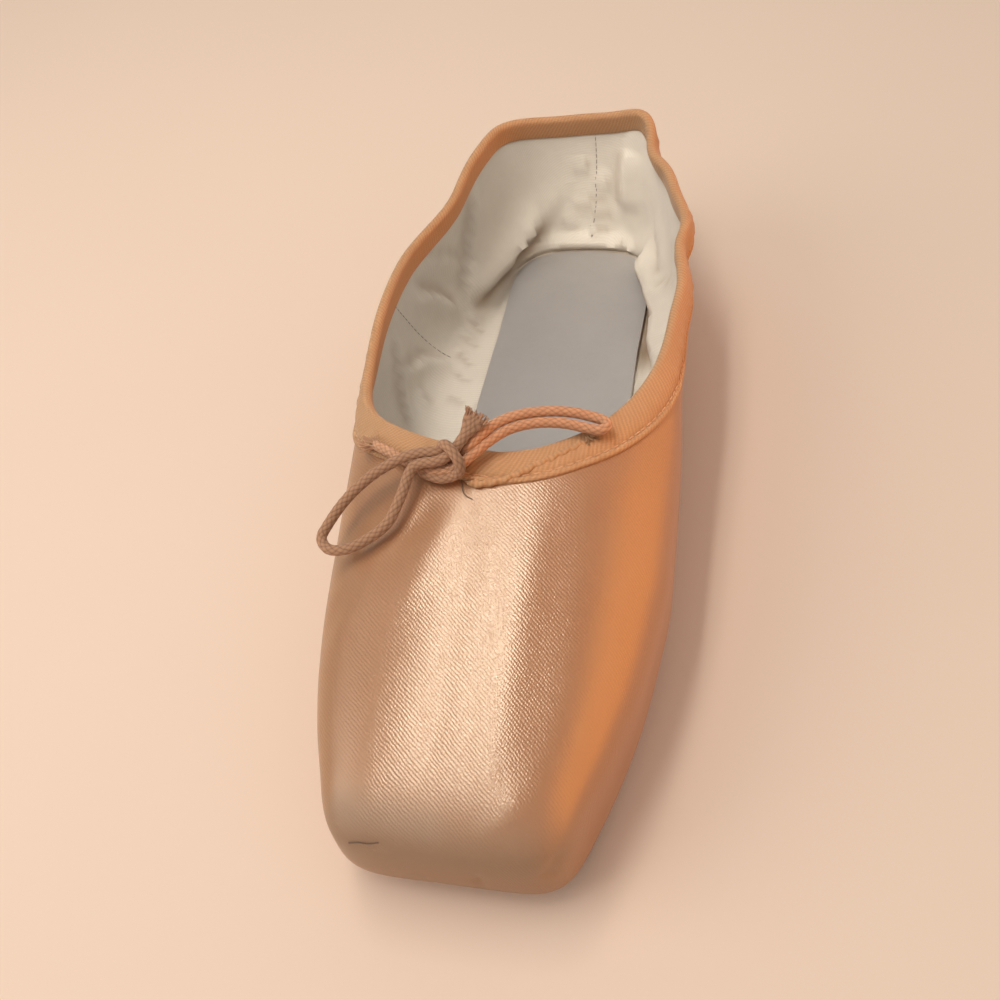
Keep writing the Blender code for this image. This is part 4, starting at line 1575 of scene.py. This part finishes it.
def make_threads():
    """Loose threads on the satin, and the frayed end of the tape at the throat."""
    skin = satin_skin()
    threads = []
    for k, line in enumerate(LOOSE_THREADS):
        path, _ = smooth_path(row_points(line), THREAD_RING)
        laid = [spot + facing * THREAD_RADIUS for spot, facing in (nearest_on(skin, point) for point in path)]
        threads.append(tube(f"thread_{k}", laid, lambda along, angle: THREAD_RADIUS, 6))
    loose = joined("loose_threads", threads)
    finish_piece(loose, THREAD_SMOOTHING, sewing_thread("thread"))
    path, length = smooth_path(row_points(THROAT_EDGE), CORD_RING)
    laid = [spot + facing * THROAT_EDGE_STANDS for spot, facing in (nearest_on(skin, point) for point in path)]

    def rolled(along, angle):
        ends = smooth(0.0, 0.002, min(along, length - along))
        return THROAT_EDGE_RADIUS * (1 + 0.16 * math.cos(2 * angle + along / THROAT_EDGE_TWIST * math.tau)) * ends

    edge = tube("throat_edge", laid, rolled, 16)
    finish_piece(edge, CLOTH_SMOOTHING, tape_material())
    end = fray("tape_end", in_row(Vector(TAPE_END) * MM), Vector(TAPE_END_AHEAD).normalized(), UP, *TAPE_END_YARNS)
    finish_piece(end, THREAD_SMOOTHING, tape_material())


PLATE_ROWS = 120
EDGE_STEPS = 3
EDGE_ANGLE = 50


def plate(name, table, half_at, low_at, columns, thickness, edge, material, node):
    """A flat piece as a fine grid inside its outline, thickened upwards, with a rounded edge."""
    front, back = y_of(table[0][0]), y_of(table[-1][0])
    middle, reach = (front + back) / 2, (back - front) / 2
    lines, places = [], []
    for k in range(PLATE_ROWS + 1):
        y = middle - reach * math.cos(math.pi * k / PLATE_ROWS)
        half = half_at(y) if 0 < k < PLATE_ROWS else 0.0
        line = [Vector((half * (2 * m / columns - 1), y, low_at(y))) for m in range(columns + 1)]
        lines.append([in_row(point) for point in line])
        places.append([(point.x, point.y) for point in line])
    piece, cells = new_grid(name, PLATE_ROWS, columns)
    send_grid(piece, cells, lines, places)
    merge_doubles(piece)
    if sum(polygon.normal.z for polygon in piece.data.polygons) < 0:
        piece.data.flip_normals()
    set_wall(piece, thickness, 1)
    soften = piece.modifiers.new("edge", "BEVEL")
    soften.width = edge
    soften.segments = EDGE_STEPS
    soften.limit_method = "ANGLE"
    soften.angle_limit = math.radians(EDGE_ANGLE)
    apply_modifiers(piece)
    finish_piece(piece, PLATE_SMOOTHING, material)
    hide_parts(node)


def make_insole():
    plate("insole_board", INSOLE, insole_half, insole_seat, 20, INSOLE_THICKNESS, 0.0003, board_material(), "insole")


def make_outsole():
    plate("sole_leather", OUTSOLE, sole_half, floor_clearance, 16, OUTSOLE_THICKNESS, 0.0006, leather_material(),
          "outsole")


FLOOR_SIZE = 6.0
WORLD_COLOUR = (1.0, 0.93, 0.86, 1.0)
WORLD_STRENGTH = 0.46
STUDIO_AIM = (0.0, -0.06, 0.04)
# Place, aim, width and length, power, colour, the way that the length lies, and what it lights.
LIGHTS = (
    ("overhead", (-0.205, -0.02, 0.75), STUDIO_AIM, (0.075, 0.60), 0.70, (1.0, 0.90, 0.80), (0, 1, 0), "all"),
    ("highlight", (-0.128, -0.02, 0.75), STUDIO_AIM, (0.048, 0.60), 1.10, (1.0, 0.99, 0.92), (0, 1, 0), "all"),
    ("wide", (-0.16, -0.02, 0.75), STUDIO_AIM, (0.42, 0.60), 0.06, (1.0, 0.94, 0.86), (0, 1, 0), "all"),
    ("left", (-0.75, -0.35, 0.50), (0.0, -0.03, 0.03), (0.7, 0.7), 2.7, (1.0, 0.93, 0.88), (0, 0, 1), "all"),
    ("warm side", (0.30, -0.02, 0.14), (0.03, -0.03, 0.03), (0.42, 0.46), 1.05, (1.0, 0.33, 0.015), (0, 1, 0), "outer"),
    ("inside", (0.30, -0.12, 0.55), (-0.02, 0.05, 0.03), (0.16, 0.16), 0.55, (1.0, 0.92, 0.82), (0, 1, 0), "inner"),
)
LIT = {
    "outer": ("satin_upper", "casing_tape", "casing_stitches", "drawstring_right", "throat_edge"),
    "inner": ("lining_canvas",),
}
# Place, aim, radius, cone in degrees, power and colour.
HEEL_GLOW = ((-0.02, -0.26, 0.50), (0.009, 0.112, 0.020), 0.02, 6.0, 12.0, (1.0, 0.94, 0.85))


def light_only(light, name):
    """Keeps a light to the pieces of one group of LIT."""
    lit = bpy.data.collections.new("lit_" + name)
    for piece in LIT[name]:
        lit.objects.link(bpy.data.objects[piece])
    light.light_linking.receiver_collection = lit


def make_stage():
    select_none()
    bpy.ops.mesh.primitive_plane_add(size=FLOOR_SIZE, location=(0, 0, 0))
    floor = bpy.context.object
    floor.name = "floor"
    floor.data.materials.append(floor_material())
    for name, place, aim, size, power, colour, upwards, lit in LIGHTS:
        light = hang(name, "AREA", place, aim, upwards, power, colour, shape="RECTANGLE", size=size[0],
                     size_y=size[1])
        if lit != "all":
            light_only(light, lit)
    place, aim, radius, cone, power, colour = HEEL_GLOW
    glow = hang("heel glow", "SPOT", place, aim, UP, power, colour, shadow_soft_size=radius,
                spot_size=math.radians(cone), spot_blend=1.0)
    light_only(glow, "inner")
    world = bpy.data.worlds.new("studio")
    world.use_nodes = True
    background = world.node_tree.nodes["Background"]
    background.inputs["Color"].default_value = WORLD_COLOUR
    background.inputs["Strength"].default_value = WORLD_STRENGTH
    bpy.context.scene.world = world
    bpy.context.scene.view_settings.view_transform = "Standard"


def add_operator(label, idname, doc, work):
    """An operator class for one piece or group of pieces."""

    def execute(self, context):
        work()
        return {"FINISHED"}

    return type(
        "SHOE_OT_" + idname, (Operator,),
        {"bl_idname": "shoe." + idname, "bl_label": label, "__doc__": doc, "execute": execute},
    )


OPERATORS = (
    add_operator("Camera", "camera", "Place the camera at the photograph's angle", make_camera),
    add_operator("Satin upper", "upper", "Make the pleated satin upper over the last", make_upper),
    add_operator("Canvas lining", "lining", "Make the creased canvas lining inside the upper", make_lining),
    add_operator("Casing", "casing", "Fold the cotton tape over the collar", make_casing),
    add_operator("Drawstring", "drawstring", "Lay the braided drawstring and its bow at the throat", make_drawstring),
    add_operator("Threads", "threads", "Lay the loose threads and the frayed end of the tape", make_threads),
    add_operator("Insole", "insole", "Lay the board insole inside", make_insole),
    add_operator("Outsole", "outsole", "Make the leather outsole", make_outsole),
    add_operator("Stage", "stage", "Make the floor and the soft lights", make_stage),
)


class SHOE_PT_panel(Panel):
    """The pointe shoe's sizes, colours and steps."""

    bl_idname = "SHOE_PT_panel"
    bl_label = "Pointe shoe"
    bl_space_type = "VIEW_3D"
    bl_region_type = "UI"
    bl_category = "Pointe shoe"

    def draw(self, context):
        for group in (context.scene.shoe_sizes, context.scene.shoe_colours):
            box = self.layout.box()
            for name in group.__annotations__:
                box.prop(group, name)
        for operator in OPERATORS:
            self.layout.operator(operator.bl_idname)


CLASSES = (ShoeSizes, ShoeColours, *OPERATORS, SHOE_PT_panel)


def register():
    for kind in CLASSES:
        bpy.utils.register_class(kind)
    bpy.types.Scene.shoe_sizes = PointerProperty(type=ShoeSizes)
    bpy.types.Scene.shoe_colours = PointerProperty(type=ShoeColours)


def unregister():
    del bpy.types.Scene.shoe_colours
    del bpy.types.Scene.shoe_sizes
    for kind in reversed(CLASSES):
        bpy.utils.unregister_class(kind)


def main():
    register()
    for name in ("camera", "upper", "lining", "casing", "drawstring", "threads", "insole", "outsole", "stage"):
        getattr(bpy.ops.shoe, name)()
    select_none()


if __name__ == "__main__":
    main()
